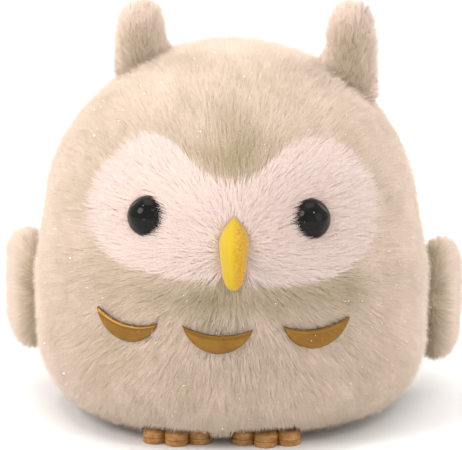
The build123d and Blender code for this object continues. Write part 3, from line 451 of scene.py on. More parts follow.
def strand_mesh(name, roots, tips, out, width, shades, tones):
    """Closed tapering strands of three sides, each in one tone."""
    count = len(roots)
    along = unit(tips - roots)
    side = unit(np.cross(along, out))
    rise = np.cross(side, along)
    vertices = np.empty((count, 4, 3))
    half = width[:, None] / 2
    for k, turn in enumerate((math.pi / 2, -math.pi / 6, -5 * math.pi / 6)):
        vertices[:, k] = roots + half * (side * math.cos(turn) + rise * 0.6 * math.sin(turn))
    vertices[:, 3] = tips
    pattern = np.array([0, 1, 3, 1, 2, 3, 2, 0, 3, 2, 1, 0])
    starts = np.array([0, 3, 6, 9])
    mesh = bpy.data.meshes.new(name)
    mesh.vertices.add(count * 4)
    mesh.vertices.foreach_set("co", vertices.astype(np.float32).ravel())
    mesh.loops.add(count * 12)
    order = np.arange(count)[:, None]
    mesh.loops.foreach_set("vertex_index", (order * 4 + pattern).astype(np.int32).ravel())
    mesh.polygons.add(count * 4)
    mesh.polygons.foreach_set("loop_start", (order * 12 + starts).astype(np.int32).ravel())
    mesh.polygons.foreach_set("material_index", np.repeat(shades, 4).astype(np.int32))
    mesh.polygons.foreach_set("use_smooth", np.ones(count * 4, bool))
    mesh.update(calc_edges=True)
    soften_normals(mesh, np.repeat(out, 4, axis=0))
    for tone in tones:
        mesh.materials.append(tone)
    return make_object(name, mesh)


class Fur:
    """Strands over a surface: their lines, widths and tones, which parts then pick from."""

    def __init__(self, roots, out, comb, length, lean, width, seed):
        draw = np.random.default_rng(seed)
        count = len(roots)
        stray = draw.normal(size=(count, 3)) * STRAY
        wander = np.stack([smooth_waves(roots, WANDER[1], seed + k) for k in range(3)], axis=1)
        swirl = np.stack([smooth_waves(roots, SWIRL[1], seed + 5 + k) for k in range(3)], axis=1)
        comb = comb + stray + WANDER[0] * wander + SWIRL[0] * swirl
        comb = unit(comb - out * dot(comb, out))
        lean = lean + draw.normal(size=(count, 1)) * LEAN_SPREAD
        length = length * (1 + draw.normal(size=(count, 1)) * LENGTH_SPREAD)
        tips = roots + (out * np.cos(lean) + comb * np.sin(lean)) * length
        self.roots = roots
        self.out = out
        self.tips, self.leader = clump(roots, tips, TUFT_SPACING, TUFT_PULL, seed + 9)
        self.width = width * (1 + draw.normal(size=count) * WIDTH_SPREAD)
        own_tone = draw.normal(size=count) * TONE_SPREAD[0]
        self.tone = own_tone + draw.normal(size=count)[self.leader] * TONE_SPREAD[1]

    def shade(self, level):
        """Tone of each strand, from 0 (dark) to 1 (light)."""
        self.level = np.clip(level + self.tone, 0, 1)

    def lower(self, chosen, keep):
        """Lay the chosen strands flatter, to keep times their height."""
        height = dot(self.tips - self.roots, self.out)
        self.tips -= np.where(chosen[:, None], self.out * height * (1 - keep), 0)

    def shorten_above(self, chosen, level):
        """Cut the chosen strands so that none hangs below a level."""
        drop = np.maximum(self.roots[:, 2] - self.tips[:, 2], 1e-6)
        room = np.clip((self.roots[:, 2] - level) / drop, 0.05, 1)
        share = np.where(chosen, room, 1.0)[:, None]
        self.tips = self.roots + (self.tips - self.roots) * share

    def piece(self, name, chosen, tones):
        """Object of the chosen strands."""
        shades = np.rint(self.level[chosen] * (len(tones) - 1))
        strands = (self.roots[chosen], self.tips[chosen], self.out[chosen], self.width[chosen])
        return strand_mesh(name, *strands, shades, tones)


def under(mesh, points, out, reach=14 * MM):
    """Which points lie under a mesh, looking in along the surface's direction."""
    corners = [vertex.co.copy() for vertex in mesh.vertices]
    tree = BVHTree.FromPolygons(corners, [tuple(face.vertices) for face in mesh.polygons])
    margin = 10 * MM
    low, high = np.min(corners, axis=0) - margin, np.max(corners, axis=0) + margin
    near = np.all((points > low) & (points < high), axis=1)
    found = np.zeros(len(points), bool)
    for index in np.flatnonzero(near):
        start = points[index] + out[index] * reach
        found[index] = tree.ray_cast(Vector(start), Vector(-out[index]), 2 * reach)[0] is not None
    return found


def triangles(obj):
    """Points and triangles of an object's mesh as arrays."""
    mesh = obj.data
    mesh.calc_loop_triangles()
    points = np.empty(len(mesh.vertices) * 3)
    mesh.vertices.foreach_get("co", points)
    faces = np.empty(len(mesh.loop_triangles) * 3, np.int32)
    mesh.loop_triangles.foreach_get("vertices", faces)
    return points.reshape(-1, 3), faces.reshape(-1, 3)


def outer_grid_triangles():
    """Outer side of the backing cloth, as points and triangles."""
    points, up, around = body_points()
    quads = np.array(grid_faces(up, around))
    return points, np.concatenate([quads[:, [0, 1, 2]], quads[:, [0, 2, 3]]])


def comb_directions(points):
    """Which way the pile lies: away from the beak on front and crown, down at the back."""
    beak = np.array([BEAK_PLACE[0], float(front_y(*BEAK_PLACE)), BEAK_PLACE[1]])
    away = unit(points - beak)
    down = np.array([0, 0, -1.0])
    front = np.clip(0.1 - points[:, 1:2] / (30 * MM), 0, 1)
    crown = np.clip((points[:, 2:3] - 104 * MM) / (14 * MM), 0, 1)
    falling = np.clip((60 * MM - points[:, 2:3]) / (40 * MM), 0, 1)
    away_share = 0.15 + 1.1 * np.maximum(front, crown)
    down_share = 1.5 * (1 - front) + 0.7 * falling
    return away * away_share + down * down_share


def node_mesh(node):
    """Mesh of a CAD node."""
    return frame["nodes"][node].data


def eye_gap(roots):
    """How far each root is from the nearest eye's edge, seen along that eye's look."""
    to_eye = np.full(len(roots), 1.0)
    for side in EYE_PLACES:
        rim, look = eye_frame(side)
        offset = roots - np.array(rim)
        ahead = dot(offset, np.array(look))
        gap = np.linalg.norm(offset - ahead * np.array(look), axis=1) - EYE_RADIUS
        to_eye = np.where(ahead[:, 0] > -12 * MM, np.minimum(to_eye, gap), to_eye)
    return to_eye


def grow_body_fur():
    """Strands over the whole backing cloth, upright and shorter beside the eyes."""
    points, faces = outer_grid_triangles()
    roots, out = scatter(points, faces, BODY_DENSITY, 11)
    out = np.where(dot(out, roots - np.array([0, 0, CROWN_HEIGHT])) < 0, -out, out)
    to_eye = eye_gap(roots)
    keep = to_eye > -0.3 * MM
    roots, out, to_eye = roots[keep], out[keep], to_eye[keep]
    upright = 0.25 + 0.75 * np.clip(to_eye / EYE_SURROUND, 0, 1)
    lean = FUR_LEAN * upright[:, None]
    length = FUR_LENGTH * (0.72 + 0.28 * upright[:, None])
    return Fur(roots, out, comb_directions(roots), length, lean, FUR_WIDTH, 21)


def white_strands(fur):
    """Which strands are seen inside the face's outline, from straight ahead."""
    roots = fur.roots
    low_face = np.clip((78 * MM - roots[:, 2:3]) / (18 * MM), 0, 1)
    seen = roots + (0.35 + 0.4 * low_face) * (fur.tips - roots)
    ahead = np.array([0, -1.0, 0]) * np.ones((len(roots), 1))
    in_front = roots[:, 1] < FACE_FRONT
    white = under(node_mesh("face_mask"), seen, ahead, FACE_REACH) & in_front
    for side in EYE_PLACES:
        white |= under(node_mesh(f"eye_{side}"), seen, fur.out)
    above_chin = roots[:, 2] > 58 * MM
    return white | under(node_mesh("beak"), seen, ahead, FACE_REACH) & in_front & above_chin


def trim(fur):
    """Flatten the fur under the foil patches and cut it off above toes and floor."""
    patch = np.zeros(len(fur.roots), bool)
    for spot in CRESCENTS:
        patch |= under(node_mesh(f"crescent_{spot}"), fur.tips, fur.out)
        patch |= under(node_mesh(f"crescent_{spot}"), fur.roots, fur.out)
    fur.lower(patch, PATCH_KEEP)
    over_feet = np.zeros(len(fur.roots), bool)
    for side in ("left", "right"):
        low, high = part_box(f"foot_{side}")
        over_feet |= (
            (fur.tips[:, 0] > low[0] - TOE_MARGIN)
            & (fur.tips[:, 0] < high[0] + TOE_MARGIN)
            & (fur.tips[:, 1] < TOE_BACK)
            & (fur.tips[:, 2] < TOE_TOP + 3 * TOE_MARGIN)
        )
    fur.shorten_above(over_feet, TOE_TOP + 2 * TOE_MARGIN)
    fur.shorten_above(~over_feet, HEM_LEVEL)


def grey_level(roots):
    """Tone of the grey fur: mottled and dark on the brow as its own colour, with painted shade
    under the chin crease, painted top light towards the crown and painted rim light at the sides.
    """
    across, height = roots[:, 0] - FACE_MIDDLE, roots[:, 2]
    front = roots[:, 1] < 0
    mottle = 0.08 * smooth_waves(roots, 22 * MM, 31) + 0.05 * smooth_waves(roots, 8 * MM, 33)
    # painted shade: a dark band across the front under the face, where the crease between head and
    # belly lies in shadow
    chin = np.exp(-(((height - 53 * MM) / (5 * MM)) ** 2)) * front
    chin = chin * np.exp(-((across / (38 * MM)) ** 2))
    # painted top light: lighter towards the crown, where the light from above falls
    rise = np.clip((height - 85 * MM) / (40 * MM), 0, 1)
    # painted rim light: lighter towards the sides, where light grazes the fur's edge
    sides = np.clip((np.abs(roots[:, 0]) - 38 * MM) / (26 * MM), 0, 1)
    brow = np.exp(-((across / (12 * MM)) ** 2))
    brow = brow * np.clip((height - 84 * MM) / (8 * MM), 0, 1)
    brow = brow * np.clip((112 * MM - height) / (20 * MM), 0, 1) * front
    # mottle and brow are the fur's own tone; the rise, sides and chin terms are painted light and
    # painted shade
    return 0.63 + mottle + 0.10 * rise + 0.18 * sides - 0.42 * chin - 0.50 * brow


def body_fur(beak_pad):
    """All strands of the body, sorted into belly, neck, head and face pieces."""
    fur = grow_body_fur()
    free = ~under(beak_pad.data, fur.roots, fur.out)
    white = white_strands(fur)
    trim(fur)
    fur.shade(np.where(white, WHITE_LEVEL, grey_level(fur.roots)))
    turn = np.degrees(np.arctan2(fur.roots[:, 1], fur.roots[:, 0])) % 360
    height = fur.roots[:, 2]
    bands = {
        "belly": height < NECK_LOW,
        "neck": (height >= NECK_LOW) & (height < NECK_HIGH),
        "head": height >= NECK_HIGH,
    }
    for name, band in bands.items():
        grey = band & free & ~white
        for part in range(FUR_PARTS):
            sector = (turn >= 360 * part / FUR_PARTS) & (turn < 360 * (part + 1) / FUR_PARTS)
            piece = fur.piece(f"{name}_fur_{part + 1}", grey & sector, GREY_TONES)
            settle(piece, name)
        settle(glitter(fur, f"{name}_glitter", grey, FLAKES_PER_PART * FUR_PARTS, 76), name)
    for name, level, band in (("neck", "low", ~bands["head"]), ("head", "high", bands["head"])):
        piece = fur.piece(f"face_fur_{level}", white & band & free, WHITE_TONES)
        settle(piece, name)


def glitter(fur, name, chosen, count, seed):
    """Fine flakes of glitter film that hang in the fur near its tips."""
    draw = np.random.default_rng(seed)
    picked = draw.choice(np.flatnonzero(chosen), count, replace=False)
    corners = np.array([[1, 0, 0], [-0.5, 0.8, 0], [-0.5, -0.8, 0], [0, 0, 0.25], [0, 0, -0.25]])
    sides = [(0, 1, 3), (1, 2, 3), (2, 0, 3), (1, 0, 4), (2, 1, 4), (0, 2, 4)]
    points, faces = [], []
    for order, which in enumerate(picked):
        turn = Matrix.Rotation(draw.uniform(0, FULL_TURN), 3, Vector(draw.normal(size=3)))
        size = draw.uniform(*FLAKE_SIZE) * MM
        place = Vector(fur.tips[which])
        points += [place + turn @ Vector(corner) * size for corner in corners]
        faces += [tuple(5 * order + index for index in side) for side in sides]
    mesh = bpy.data.meshes.new(name)
    mesh.from_pydata(points, [], faces)
    mesh.materials.append(GLITTER)
    piece = make_object(name, mesh)
    return piece


def settle(piece, band):
    """Put a band of fur on its body; the neck band stays on no body, with its placement baked into
    its points.
    """
    if band == "belly":
        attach(piece, "base")
    elif band == "head":
        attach(piece, "head")
    else:
        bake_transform(piece)


# ---- stuffed pieces -----------------------------------------------------------------
def stuffed(node, name, inset, voxel, cap, pressure=4.0, frames=18, shape=None):
    """Closed pad from a CAD node: drawn in, remeshed, blown up as cloth, capped, smoothed."""
    source = frame["nodes"][node].data.copy()
    obj = make_object(name, source)
    obj.data.materials.clear()
    remesh = obj.modifiers.new("remesh", "REMESH")
    remesh.mode = "VOXEL"
    remesh.voxel_size = voxel
    apply_modifiers(obj)
    mesh = obj.data
    count = len(mesh.vertices)
    points = np.empty(count * 3)
    mesh.vertices.foreach_get("co", points)
    normals = np.empty(count * 3)
    mesh.vertex_normals.foreach_get("vector", normals)
    normals = normals.reshape(-1, 3)
    start = points.reshape(-1, 3) - normals * inset
    if shape:
        start = shape(start, normals)
    start = blown_up(obj, start, cap, pressure, frames)
    mesh.vertices.foreach_set("co", start.astype(np.float32).ravel())
    mesh.update()
    smooth = obj.modifiers.new("smooth", "SMOOTH")
    smooth.iterations = 4
    smooth.factor = 0.5
    finer = obj.modifiers.new("finer", "SUBSURF")
    finer.levels = 1
    apply_modifiers(obj)
    obj.data.shade_smooth()
    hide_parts(node)
    return obj


def blown_up(obj, start, cap, pressure, frames):
    """Cloth pressure on the mesh at ten times its size; no point moves more than cap."""
    enlarge = 10.0
    mesh = obj.data
    mesh.vertices.foreach_set("co", (start * enlarge).astype(np.float32).ravel())
    mesh.update()
    cloth = obj.modifiers.new("cloth", "CLOTH")
    cloth.settings.use_pressure = True
    cloth.settings.uniform_pressure_force = pressure
    cloth.settings.effector_weights.gravity = 0
    cloth.settings.quality = 5
    cloth.point_cache.frame_start = 1
    cloth.point_cache.frame_end = frames
    scene = bpy.context.scene
    for step in range(1, frames + 1):
        scene.frame_set(step)
    graph = bpy.context.evaluated_depsgraph_get()
    result = obj.evaluated_get(graph).data
    moved = np.empty(len(result.vertices) * 3)
    result.vertices.foreach_get("co", moved)
    moved = moved.reshape(-1, 3) / enlarge
    obj.modifiers.clear()
    scene.frame_set(1)
    shift = moved - start
    far = np.linalg.norm(shift, axis=1, keepdims=True)
    return start + shift * np.minimum(1, cap / np.maximum(far, 1e-9))


def pad_fur(obj, name, comb, lean, body, shade, seed):
    """Short pile over a stuffed piece."""
    points, faces = triangles(obj)
    roots, out = scatter(points, faces, PILE_DENSITY, seed)
    fur = Fur(roots, out, comb(roots, out), PILE_LENGTH, lean, FUR_WIDTH, seed + 1)
    fur.shade(shade(roots, out))
    piece = fur.piece(name, np.ones(len(roots), bool), GREY_TONES)
    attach(piece, body)


def ear(side):
    """Stuffed ear tab under short pile, with painted rim light at its edges and painted shade in
    the grey front of its middle.
    """
    node = f"ear_{side}"
    low, high = (np.array(corner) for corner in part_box(node))
    middle = (low + high) / 2
    crown = np.array([0, 0, CROWN_HEIGHT])

    def shape(points, normals):
        """Root pushed down to the head's cloth, and a tip that narrows."""
        outward = unit(points - crown)
        root = np.clip(-dot(normals, outward) - 0.3, 0, 1) / 0.7
        points = points - outward * root * 7.5 * MM
        rise = np.clip((points[:, 2] - high[2] + 22 * MM) / (22 * MM), 0, 1)
        tip_x = middle[0] + (-1.2 if side == "left" else 1.2) * MM
        points[:, 0] = tip_x + (points[:, 0] - tip_x) * (1 - 0.30 * rise**2)
        return points

    core = stuffed(node, f"ear_{side}_pad", 3.0 * MM, 1.6 * MM, 1.2 * MM, shape=shape)
    core.data.materials.append(SKIN_CLOTH)
    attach(core, "head")
    foot = np.array([middle[0], middle[1], high[2] - 28 * MM])

    def comb(points, out):
        return unit(points - foot) + np.array([0, 0, 0.35])

    # painted shade: darker on the front-facing middle below the tip, where the cupped ear lies in
    # shadow; the lightest tone elsewhere stands in for rim light
    def shade(points, out):
        across = np.abs(points[:, 0] - middle[0]) / (high[0] - low[0])
        facing = np.clip(-out[:, 1], 0, 1)
        below_tip = np.clip((high[2] - points[:, 2] - 5 * MM) / (10 * MM), 0, 1)
        painted_shade = facing * below_tip * np.clip(1.3 - 2.6 * across, 0, 1)
        return 1.0 - 0.55 * painted_shade

    pad_fur(core, f"ear_{side}_fur", comb, math.radians(52), "head", shade, 41)


def wing(side):
    """Stuffed paddle under short pile that lies backwards from its seam."""
    node = f"wing_{side}"
    low, high = (np.array(corner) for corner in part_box(node))
    core = stuffed(node, f"wing_{side}_pad", 1.2 * MM, 1.6 * MM, 1.0 * MM)
    core.data.materials.append(SKIN_CLOTH)
    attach(core, f"{side}_wing")
    outward = -1.0 if side == "left" else 1.0

    def comb(points, out):
        spread = points - np.array([outward * 66 * MM, low[1] - 10 * MM, (low[2] + high[2]) / 2])
        return unit(spread) + np.array([0, 0.3, -0.15])

    # painted shade: darker next to the body at the wing's front, where the crease between wing and
    # body lies in shadow
    def shade(points, out):
        painted_shade = np.clip((72.5 * MM - points[:, 0] * outward) / (5 * MM), 0, 1)
        painted_shade = painted_shade * np.clip((low[1] + 17 * MM - points[:, 1]) / (9 * MM), 0, 1)
        return 0.82 - 0.75 * painted_shade

    lean = math.radians(45)
    pad_fur(core, f"wing_{side}_fur", comb, lean, f"{side}_wing", shade, 61)


def wadding(part, body):
    """Fibre filling of the belly or the head, puffed up inside its cloth."""
    pad = stuffed(f"{part}_wadding", f"{part}_filling", 1.2 * MM, 3.5 * MM, 1.0 * MM)
    pad.data.materials.append(FIBRE_FILL)
    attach(pad, body)


def beak_material():
    """Yellow velour that turns speckled orange towards +X: the speckles are the velour's own, and
    their gathering on the +X side, away from the key light, is partly painted shade.
    """
    material, nodes, links, shader = new_material("beak_velour")
    place = nodes.new("ShaderNodeTexCoord")
    split = nodes.new("ShaderNodeSeparateXYZ")
    links.new(place.outputs["Object"], split.inputs["Vector"])
    # painted shade, in part: the orange speckles gather towards +X, the side turned from the key
    # light
    across = nodes.new("ShaderNodeMapRange")
    across.inputs["From Min"].default_value = BEAK_PLACE[0] - 0.6 * MM
    across.inputs["From Max"].default_value = BEAK_PLACE[0] + 2.0 * MM
    links.new(split.outputs["X"], across.inputs["Value"])
    speck = add_noise(material, place.outputs["Object"], 1300, 3)
    sharpen = nodes.new("ShaderNodeMapRange")
    sharpen.inputs["From Min"].default_value = 0.35
    sharpen.inputs["From Max"].default_value = 0.65
    links.new(speck.outputs["Fac"], sharpen.inputs["Value"])
    both = nodes.new("ShaderNodeMath")
    both.operation = "MULTIPLY"
    links.new(across.outputs["Result"], both.inputs[0])
    links.new(sharpen.outputs["Result"], both.inputs[1])
    mix = nodes.new("ShaderNodeMix")
    mix.data_type = "RGBA"
    mix.inputs[6].default_value = linear(194, 163, 20)
    mix.inputs[7].default_value = linear(182, 118, 14)
    links.new(both.outputs["Value"], mix.inputs[0])
    links.new(mix.outputs[2], shader.inputs["Base Color"])
    add_relief(material, speck, 0.35, 0.3 * MM)
    shader.inputs["Roughness"].default_value = 0.85
    shader.inputs["Sheen Weight"].default_value = 0.2
    return material


def beak_width(share):
    """Share of the beak's full width: a pointed top, widest at a third, a rounded foot."""
    widest = 0.36
    if share <= widest:
        return math.sin(math.pi / 2 * share / widest) ** 0.9
    rest = (share - widest) / (1 - widest)
    return (1 - 0.4 * rest**1.3) * math.sqrt(max(1 - rest**8, 0))


def beak():
    """Stuffed leaf: pointed at the top, widest above its middle, with a folded ridge."""
    low, high = (np.array(corner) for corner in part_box("beak"))
    height = high[2] - low[2] - 0.6 * MM
    centre_x = (low[0] + high[0]) / 2
    reach = high[1] - low[1]
    around, along = 40, 44
    points = []
    for i in range(along + 1):
        share = i / along
        fall = beak_width(share)
        half = 4.75 * MM * fall
        z = high[2] - 0.3 * MM - share * height
        back = float(front_y(centre_x, min(max(z, 56 * MM), 80 * MM))) + 2.6 * MM
        thick = (3.2 * MM + 4.4 * MM * math.sin(math.pi * share**0.8)) * max(fall, 0.05)
        for j in range(around):
            turn = 2 * math.pi * j / around
            x = half * math.copysign(abs(math.cos(turn)) ** 0.9, math.cos(turn))
            out = math.sin(turn)
            y = back - (thick * out if out > 0 else 1.4 * MM * fall * out)
            ridge = 0.5 * MM * fall * math.exp(-((x / (1.1 * MM)) ** 2)) if out > 0 else 0.0
            points.append((centre_x + x, y - ridge, z))
    faces = grid_faces(along + 1, around)
    mesh = bpy.data.meshes.new("beak_pad")
    mesh.from_pydata(points, [], faces)
    weld(mesh, 0.01 * MM, fill=True)
    obj = make_object("beak_pad", mesh)
    finer = obj.modifiers.new("finer", "SUBSURF")
    finer.levels = 1
    apply_modifiers(obj)
    obj.data.shade_smooth()
    obj.data.materials.append(beak_material())
    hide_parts("beak")
    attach(obj, "head")
    return obj


# ---- eyes ---------------------------------------------------------------------------
def eye_material():
    """Black moulded eye plastic under a hard gloss."""
    material = mottled_material(
        "eye_gloss", linear(10, 11, 10), linear(22, 22, 20), 260, rough=(0.04, 0.08), bump=0.01
    )
    shader = material.node_tree.nodes["Principled BSDF"]
    shader.inputs["Specular IOR Level"].default_value = 0.18
    return material


def eye(side, material):
    """Domed eye on a flange and a ribbed shank, turned as one profile."""
    rim, look = eye_frame(side)
    angles = np.linspace(0, math.pi / 2, 28)
    dome = [(EYE_RADIUS * math.cos(a), EYE_RADIUS * math.sin(a)) for a in angles]
    shank = [(1.7 * MM, -0.5 * MM)]
    for rib in range(4):
        top = -2.0 * MM - 1.5 * MM * rib
        barb = ((1.7, 0.0), (1.85, 0.25), (1.85, 0.55), (1.7, 0.8))
        shank += [(radius * MM, top - depth * MM) for radius, depth in barb]
    shank += [(1.2 * MM, -9.0 * MM), (0.0, -9.6 * MM)]
    outline = list(reversed(dome)) + [(EYE_RADIUS - 0.1 * MM, -0.5 * MM)] + shank
    turns = 64
    spin = look.to_track_quat("Z", "Y").to_matrix()
    points = []
    for radius, height in outline:
        for step in range(turns):
            angle = 2 * math.pi * step / turns
            local = Vector((radius * math.cos(angle), radius * math.sin(angle), height))
            points.append(rim + spin @ local)
    mesh = bpy.data.meshes.new(f"eye_{side}_dome")
    mesh.from_pydata(points, [], grid_faces(len(outline), turns))
    weld(mesh, 0.002 * MM)
    mesh.shade_smooth()
    mesh.materials.append(material)
    obj = make_object(f"eye_{side}_dome", mesh)
    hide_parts(f"eye_{side}")
    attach(obj, "head")


# ---- crescents ----------------------------------------------------------------------
def arc_drop(along, half_span, sag):
    """How far an arc through both tips hangs below the line between them."""
    radius = (half_span**2 + sag**2) / (2 * sag)
    return math.sqrt(max(radius**2 - along**2, 0)) - (radius - sag)


def crescent(name, materials):
    """Foil patch on the belly: a shallow pillow with a bead along its edge."""
    *lengths, tilt = CRESCENTS[name]
    x, z, half_span, upper, lower = (length * MM for length in lengths)
    turn = math.radians(tilt)
    columns, rows = 72, 18
    rim_share = 0.07
    top, bottom = [], []
    for i in range(columns + 1):
        along = -half_span * math.cos(math.pi * i / columns)
        upper_drop = arc_drop(along, half_span, upper)
        lower_drop = arc_drop(along, half_span, lower)
        for j in range(rows + 1):
            share = (1 - math.cos(math.pi * j / rows)) / 2
            drop = upper_drop * (1 - share) + lower_drop * share
            px = x + along * math.cos(turn) + drop * math.sin(turn)
            pz = z + along * math.sin(turn) - drop * math.cos(turn)
            edge = min(share, 1 - share) * (lower_drop - upper_drop)
            crown = 0.9 * MM * (1 - math.exp(-edge / (0.45 * MM)))
            base = float(front_y(px, pz))
            outward = Vector((px, base, 0)).normalized()
            for height, side in ((crown - 0.35 * MM, top), (-0.75 * MM, bottom)):
                side.append(Vector((px, base, pz)) + outward * height)
    count = len(top)
    faces, tones = [], []
    for i in range(columns):
        for j in range(rows):
            a = i * (rows + 1) + j
            quad = (a, a + 1, a + rows + 2, a + rows + 1)
            share = (1 - math.cos(math.pi * (j + 0.5) / rows)) / 2
            faces.append(quad)
            tones.append(1 if min(share, 1 - share) < rim_share / 2 else 0)
            faces.append(tuple(index + count for index in reversed(quad)))
            tones.append(1)
    for j in (0, rows):
        for i in range(columns):
            a = i * (rows + 1) + j
            b = a + rows + 1
            faces.append((a, b, b + count, a + count) if j == 0 else (b, a, a + count, b + count))
            tones.append(1)
    mesh = bpy.data.meshes.new(f"crescent_{name}_foil")
    mesh.from_pydata(top + bottom, [], faces)
    mesh.polygons.foreach_set("material_index", tones)
    weld(mesh, 0.01 * MM, sliver=0.005 * MM)
    mesh.shade_smooth()
    for material in materials:
        mesh.materials.append(material)
    obj = make_object(f"crescent_{name}_foil", mesh)
    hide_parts(f"crescent_{name}")
    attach(obj, "base")


# ---- finishes of the CAD nodes ------------------------------------------------------
def wood_look_material():
    """Brown moulded plastic streaked like turned wood."""
    material, nodes, links, shader = new_material("foot_plastic_grain")
    place = nodes.new("ShaderNodeTexCoord")
    stretch = nodes.new("ShaderNodeMapping")
    stretch.inputs["Scale"].default_value = (1.0, 0.18, 1.6)
    links.new(place.outputs["Object"], stretch.inputs["Vector"])
    grain = add_noise(material, stretch.outputs["Vector"], 420, 5)
    grain.inputs["Distortion"].default_value = 0.6
    ramp = nodes.new("ShaderNodeValToRGB")
    ramp.color_ramp.elements[0].position = 0.35
    ramp.color_ramp.elements[0].color = linear(146, 100, 50)
    ramp.color_ramp.elements[1].position = 0.7
    ramp.color_ramp.elements[1].color = linear(192, 142, 80)
    links.new(grain.outputs["Fac"], ramp.inputs["Fac"])
    links.new(ramp.outputs["Color"], shader.inputs["Base Color"])
    add_relief(material, grain, 0.15, 0.1 * MM)
    shader.inputs["Roughness"].default_value = 0.42
    return material


def finish(name, dark, light, grain, rough=(0.4, 0.6), **extra):
    """Mottled finish between two sRGB colours."""
    return mottled_material(name, linear(*dark), linear(*light), grain, rough=rough, **extra)


def metal(name, dark, light, grain, rough):
    """Mottled finish that shines as metal."""
    return finish(name, dark, light, grain, rough, Metallic=1.0)


def finishes():
    """Finish of each material slot of the record."""
    return {
        "foot_plastic": wood_look_material(),
        "base_plastic": finish(
            "base_moulding", (96, 68, 42), (112, 80, 50), 90, (0.42, 0.55), bump=0.12
        ),
        "housing_plastic": finish(
            "housing_moulding", (222, 220, 212), (236, 234, 228), 80, (0.38, 0.5)
        ),
        "frame_plastic": finish(
            "frame_moulding", (206, 204, 196), (224, 222, 214), 80, (0.4, 0.52)
        ),
        "gear_plastic": finish("gear_moulding", (232, 228, 214), (244, 241, 230), 140, (0.3, 0.42)),
        "washer_plastic": finish("washer_moulding", (196, 192, 184), (214, 210, 202), 150),
        "tie_nylon": finish("tie_moulding", (226, 224, 216), (240, 238, 232), 160),
        "steel": metal("ground_steel", (176, 178, 180), (206, 208, 210), 300, (0.22, 0.36)),
        "screw_steel": metal("zinc_screws", (150, 150, 152), (196, 196, 198), 420, (0.28, 0.42)),
        "motor_steel": metal("motor_can_steel", (150, 152, 154), (184, 186, 188), 220, (0.26, 0.4)),
        "contact_brass": metal(
            "plated_contacts", (176, 170, 150), (214, 208, 186), 260, (0.25, 0.4)
        ),
        "pinion_brass": metal("turned_brass", (176, 140, 66), (210, 174, 92), 300, (0.22, 0.36)),
        "battery_jacket": finish("battery_sleeve", (38, 52, 64), (56, 74, 90), 120, (0.25, 0.36)),
        "board_green": finish("solder_mask", (20, 84, 48), (32, 108, 62), 200, (0.28, 0.42)),
        "chip_black": finish("moulded_chips", (26, 26, 28), (44, 44, 46), 320, (0.45, 0.62)),
        "mic_metal": metal("mic_shell", (168, 168, 166), (200, 200, 196), 320, (0.25, 0.4)),
        "grommet_rubber": finish(
            "grommet_rubber_black", (30, 30, 30), (48, 47, 46), 260, (0.6, 0.8)
        ),
        "speaker_steel": metal(
            "speaker_basket", (120, 122, 124), (156, 158, 160), 240, (0.3, 0.45)
        ),
        "cone_paper": finish(
            "cone_paper_grey", (62, 60, 58), (92, 88, 84), 420, (0.75, 0.95), bump=0.3
        ),
        "wire_red": finish("wire_insulation", (150, 28, 24), (182, 40, 34), 200, (0.35, 0.5)),
        "knob_black": finish("knob_moulding", (34, 34, 36), (54, 54, 56), 180, (0.42, 0.6)),
    }


def foil(name, dark, light, grain):
    """Half metallic foil with a soft shine."""
    return finish(name, dark, light, grain, (0.2, 0.32), bump=0.05, Metallic=0.5)


def dress_cad_nodes():
    """Give each CAD node that still shows the finish of its slot."""
    made = finishes()
    for name, obj in frame["nodes"].items():
        if obj.hide_render:
            continue
        slot_name = NODE_SLOTS.get(name)
        if slot_name not in made:
            continue
        for holder in obj.material_slots:
            holder.link = "OBJECT"
            holder.material = made[slot_name]


# ---- stage --------------------------------------------------------------------------
def floor():
    """Plain pale floor."""
    radius, turns = 9.0, 64
    angles = [2 * math.pi * i / turns for i in range(turns)]
    ring = [(radius * math.cos(a), radius * math.sin(a), 0) for a in angles]
    mesh = bpy.data.meshes.new("floor")
    mesh.from_pydata(ring, [], [tuple(range(turns))])
    material, _, _, shader = new_material("floor_white")
    shader.inputs["Base Color"].default_value = (0.93, 0.93, 0.93, 1)
    shader.inputs["Roughness"].default_value = 0.9
    shader.inputs["Specular IOR Level"].default_value = 0.1
    mesh.materials.append(material)
    make_object("floor", mesh)


def area_light(name, place, size, power, colour=(1, 1, 1), aim=(0, 0, 0.06)):
    """Soft light that points at the owl: a disc, or a rectangle if two sizes are given."""
    light = bpy.data.lights.new(name, "AREA")
    if isinstance(size, tuple):
        light.shape = "RECTANGLE"
        light.size, light.size_y = size
    else:
        light.shape = "DISK"
        light.size = size
    light.energy = power
    light.color = colour
    obj = make_object(name, light)
    obj.location = place
    obj.rotation_euler = (Vector(aim) - Vector(place)).to_track_quat("-Z", "Y").to_euler()


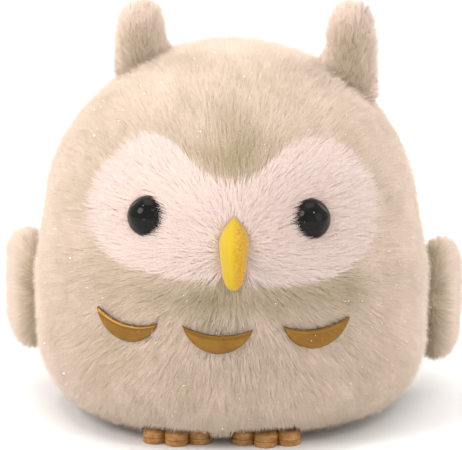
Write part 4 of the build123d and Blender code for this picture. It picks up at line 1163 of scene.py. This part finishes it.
def lights():
    """White surroundings, a key from the upper left, a weak fill, a light above, two lights
    behind, and three small lamps that the eyes reflect."""
    world = bpy.data.worlds.new("studio")
    world.use_nodes = True
    world.node_tree.nodes["Background"].inputs["Color"].default_value = (1, 0.985, 0.97, 1)
    world.node_tree.nodes["Background"].inputs["Strength"].default_value = 0.85
    bpy.context.scene.world = world
    area_light("key", (-0.85, -0.7, 0.85), 0.7, 8.0, (1, 0.95, 0.92))
    area_light("fill", (0.9, -0.6, 0.4), 0.8, 1.5, (1, 0.97, 0.92))
    area_light("top", (0.0, 0.05, 1.1), 0.8, 2.2, (1, 0.94, 0.92))
    area_light("back_left", (-0.7, 1.0, 0.7), 0.9, 6.0, (1, 0.96, 0.94))
    area_light("back_right", (0.8, 0.8, 0.7), 0.9, 5.0, (1, 0.96, 0.94))
    area_light("catch_high", (-0.28, -0.26, 0.81), 0.018, 0.7)
    area_light("catch_dash", (0.35, -0.52, 0.64), (0.014, 0.07), 0.8)
    area_light("catch_low", (-0.22, -0.56, 0.02), 0.016, 0.12, aim=(-0.02, -0.05, 0.077))


def display():
    """Plain display of colours, with no filmic curve."""
    bpy.context.scene.view_settings.view_transform = "Standard"


def camera():
    """Long lens, a little to the right of the front and above."""
    distance = 0.9
    azimuth, elevation = math.radians(3), math.radians(12)
    target = Vector((0, 0, 62.5 * MM))
    away = Vector(
        (
            math.cos(elevation) * math.sin(azimuth),
            -math.cos(elevation) * math.cos(azimuth),
            math.sin(elevation),
        )
    )
    data = bpy.data.cameras.new("camera")
    data.sensor_width = 36.0
    data.lens = 207.5
    obj = make_object("camera", data)
    obj.location = target + away * distance
    obj.rotation_euler = (-away).to_track_quat("-Z", "Y").to_euler()
    bpy.context.scene.camera = obj


# ---- assembly -----------------------------------------------------------------------
NODE_SLOTS = {part["node"]: part["material_slot"] for part in frame["record"]["subparts"]}


floor()
lights()
camera()
display()

skin = body_skin()
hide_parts("belly_skin", "head_skin", "face_mask")
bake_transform(skin)
beak_pad = beak()
body_fur(beak_pad)
for side in ("left", "right"):
    ear(side)
    wing(side)
wadding("belly", "base")
wadding("head", "head")
gloss = eye_material()
for side in EYE_PLACES:
    eye(side, gloss)
foils = (
    foil("gold_foil", (118, 80, 18), (138, 98, 26), 120),
    foil("gold_foil_edge", (96, 62, 22), (120, 82, 34), 160),
)
for name in CRESCENTS:
    crescent(name, foils)
dress_cad_nodes()
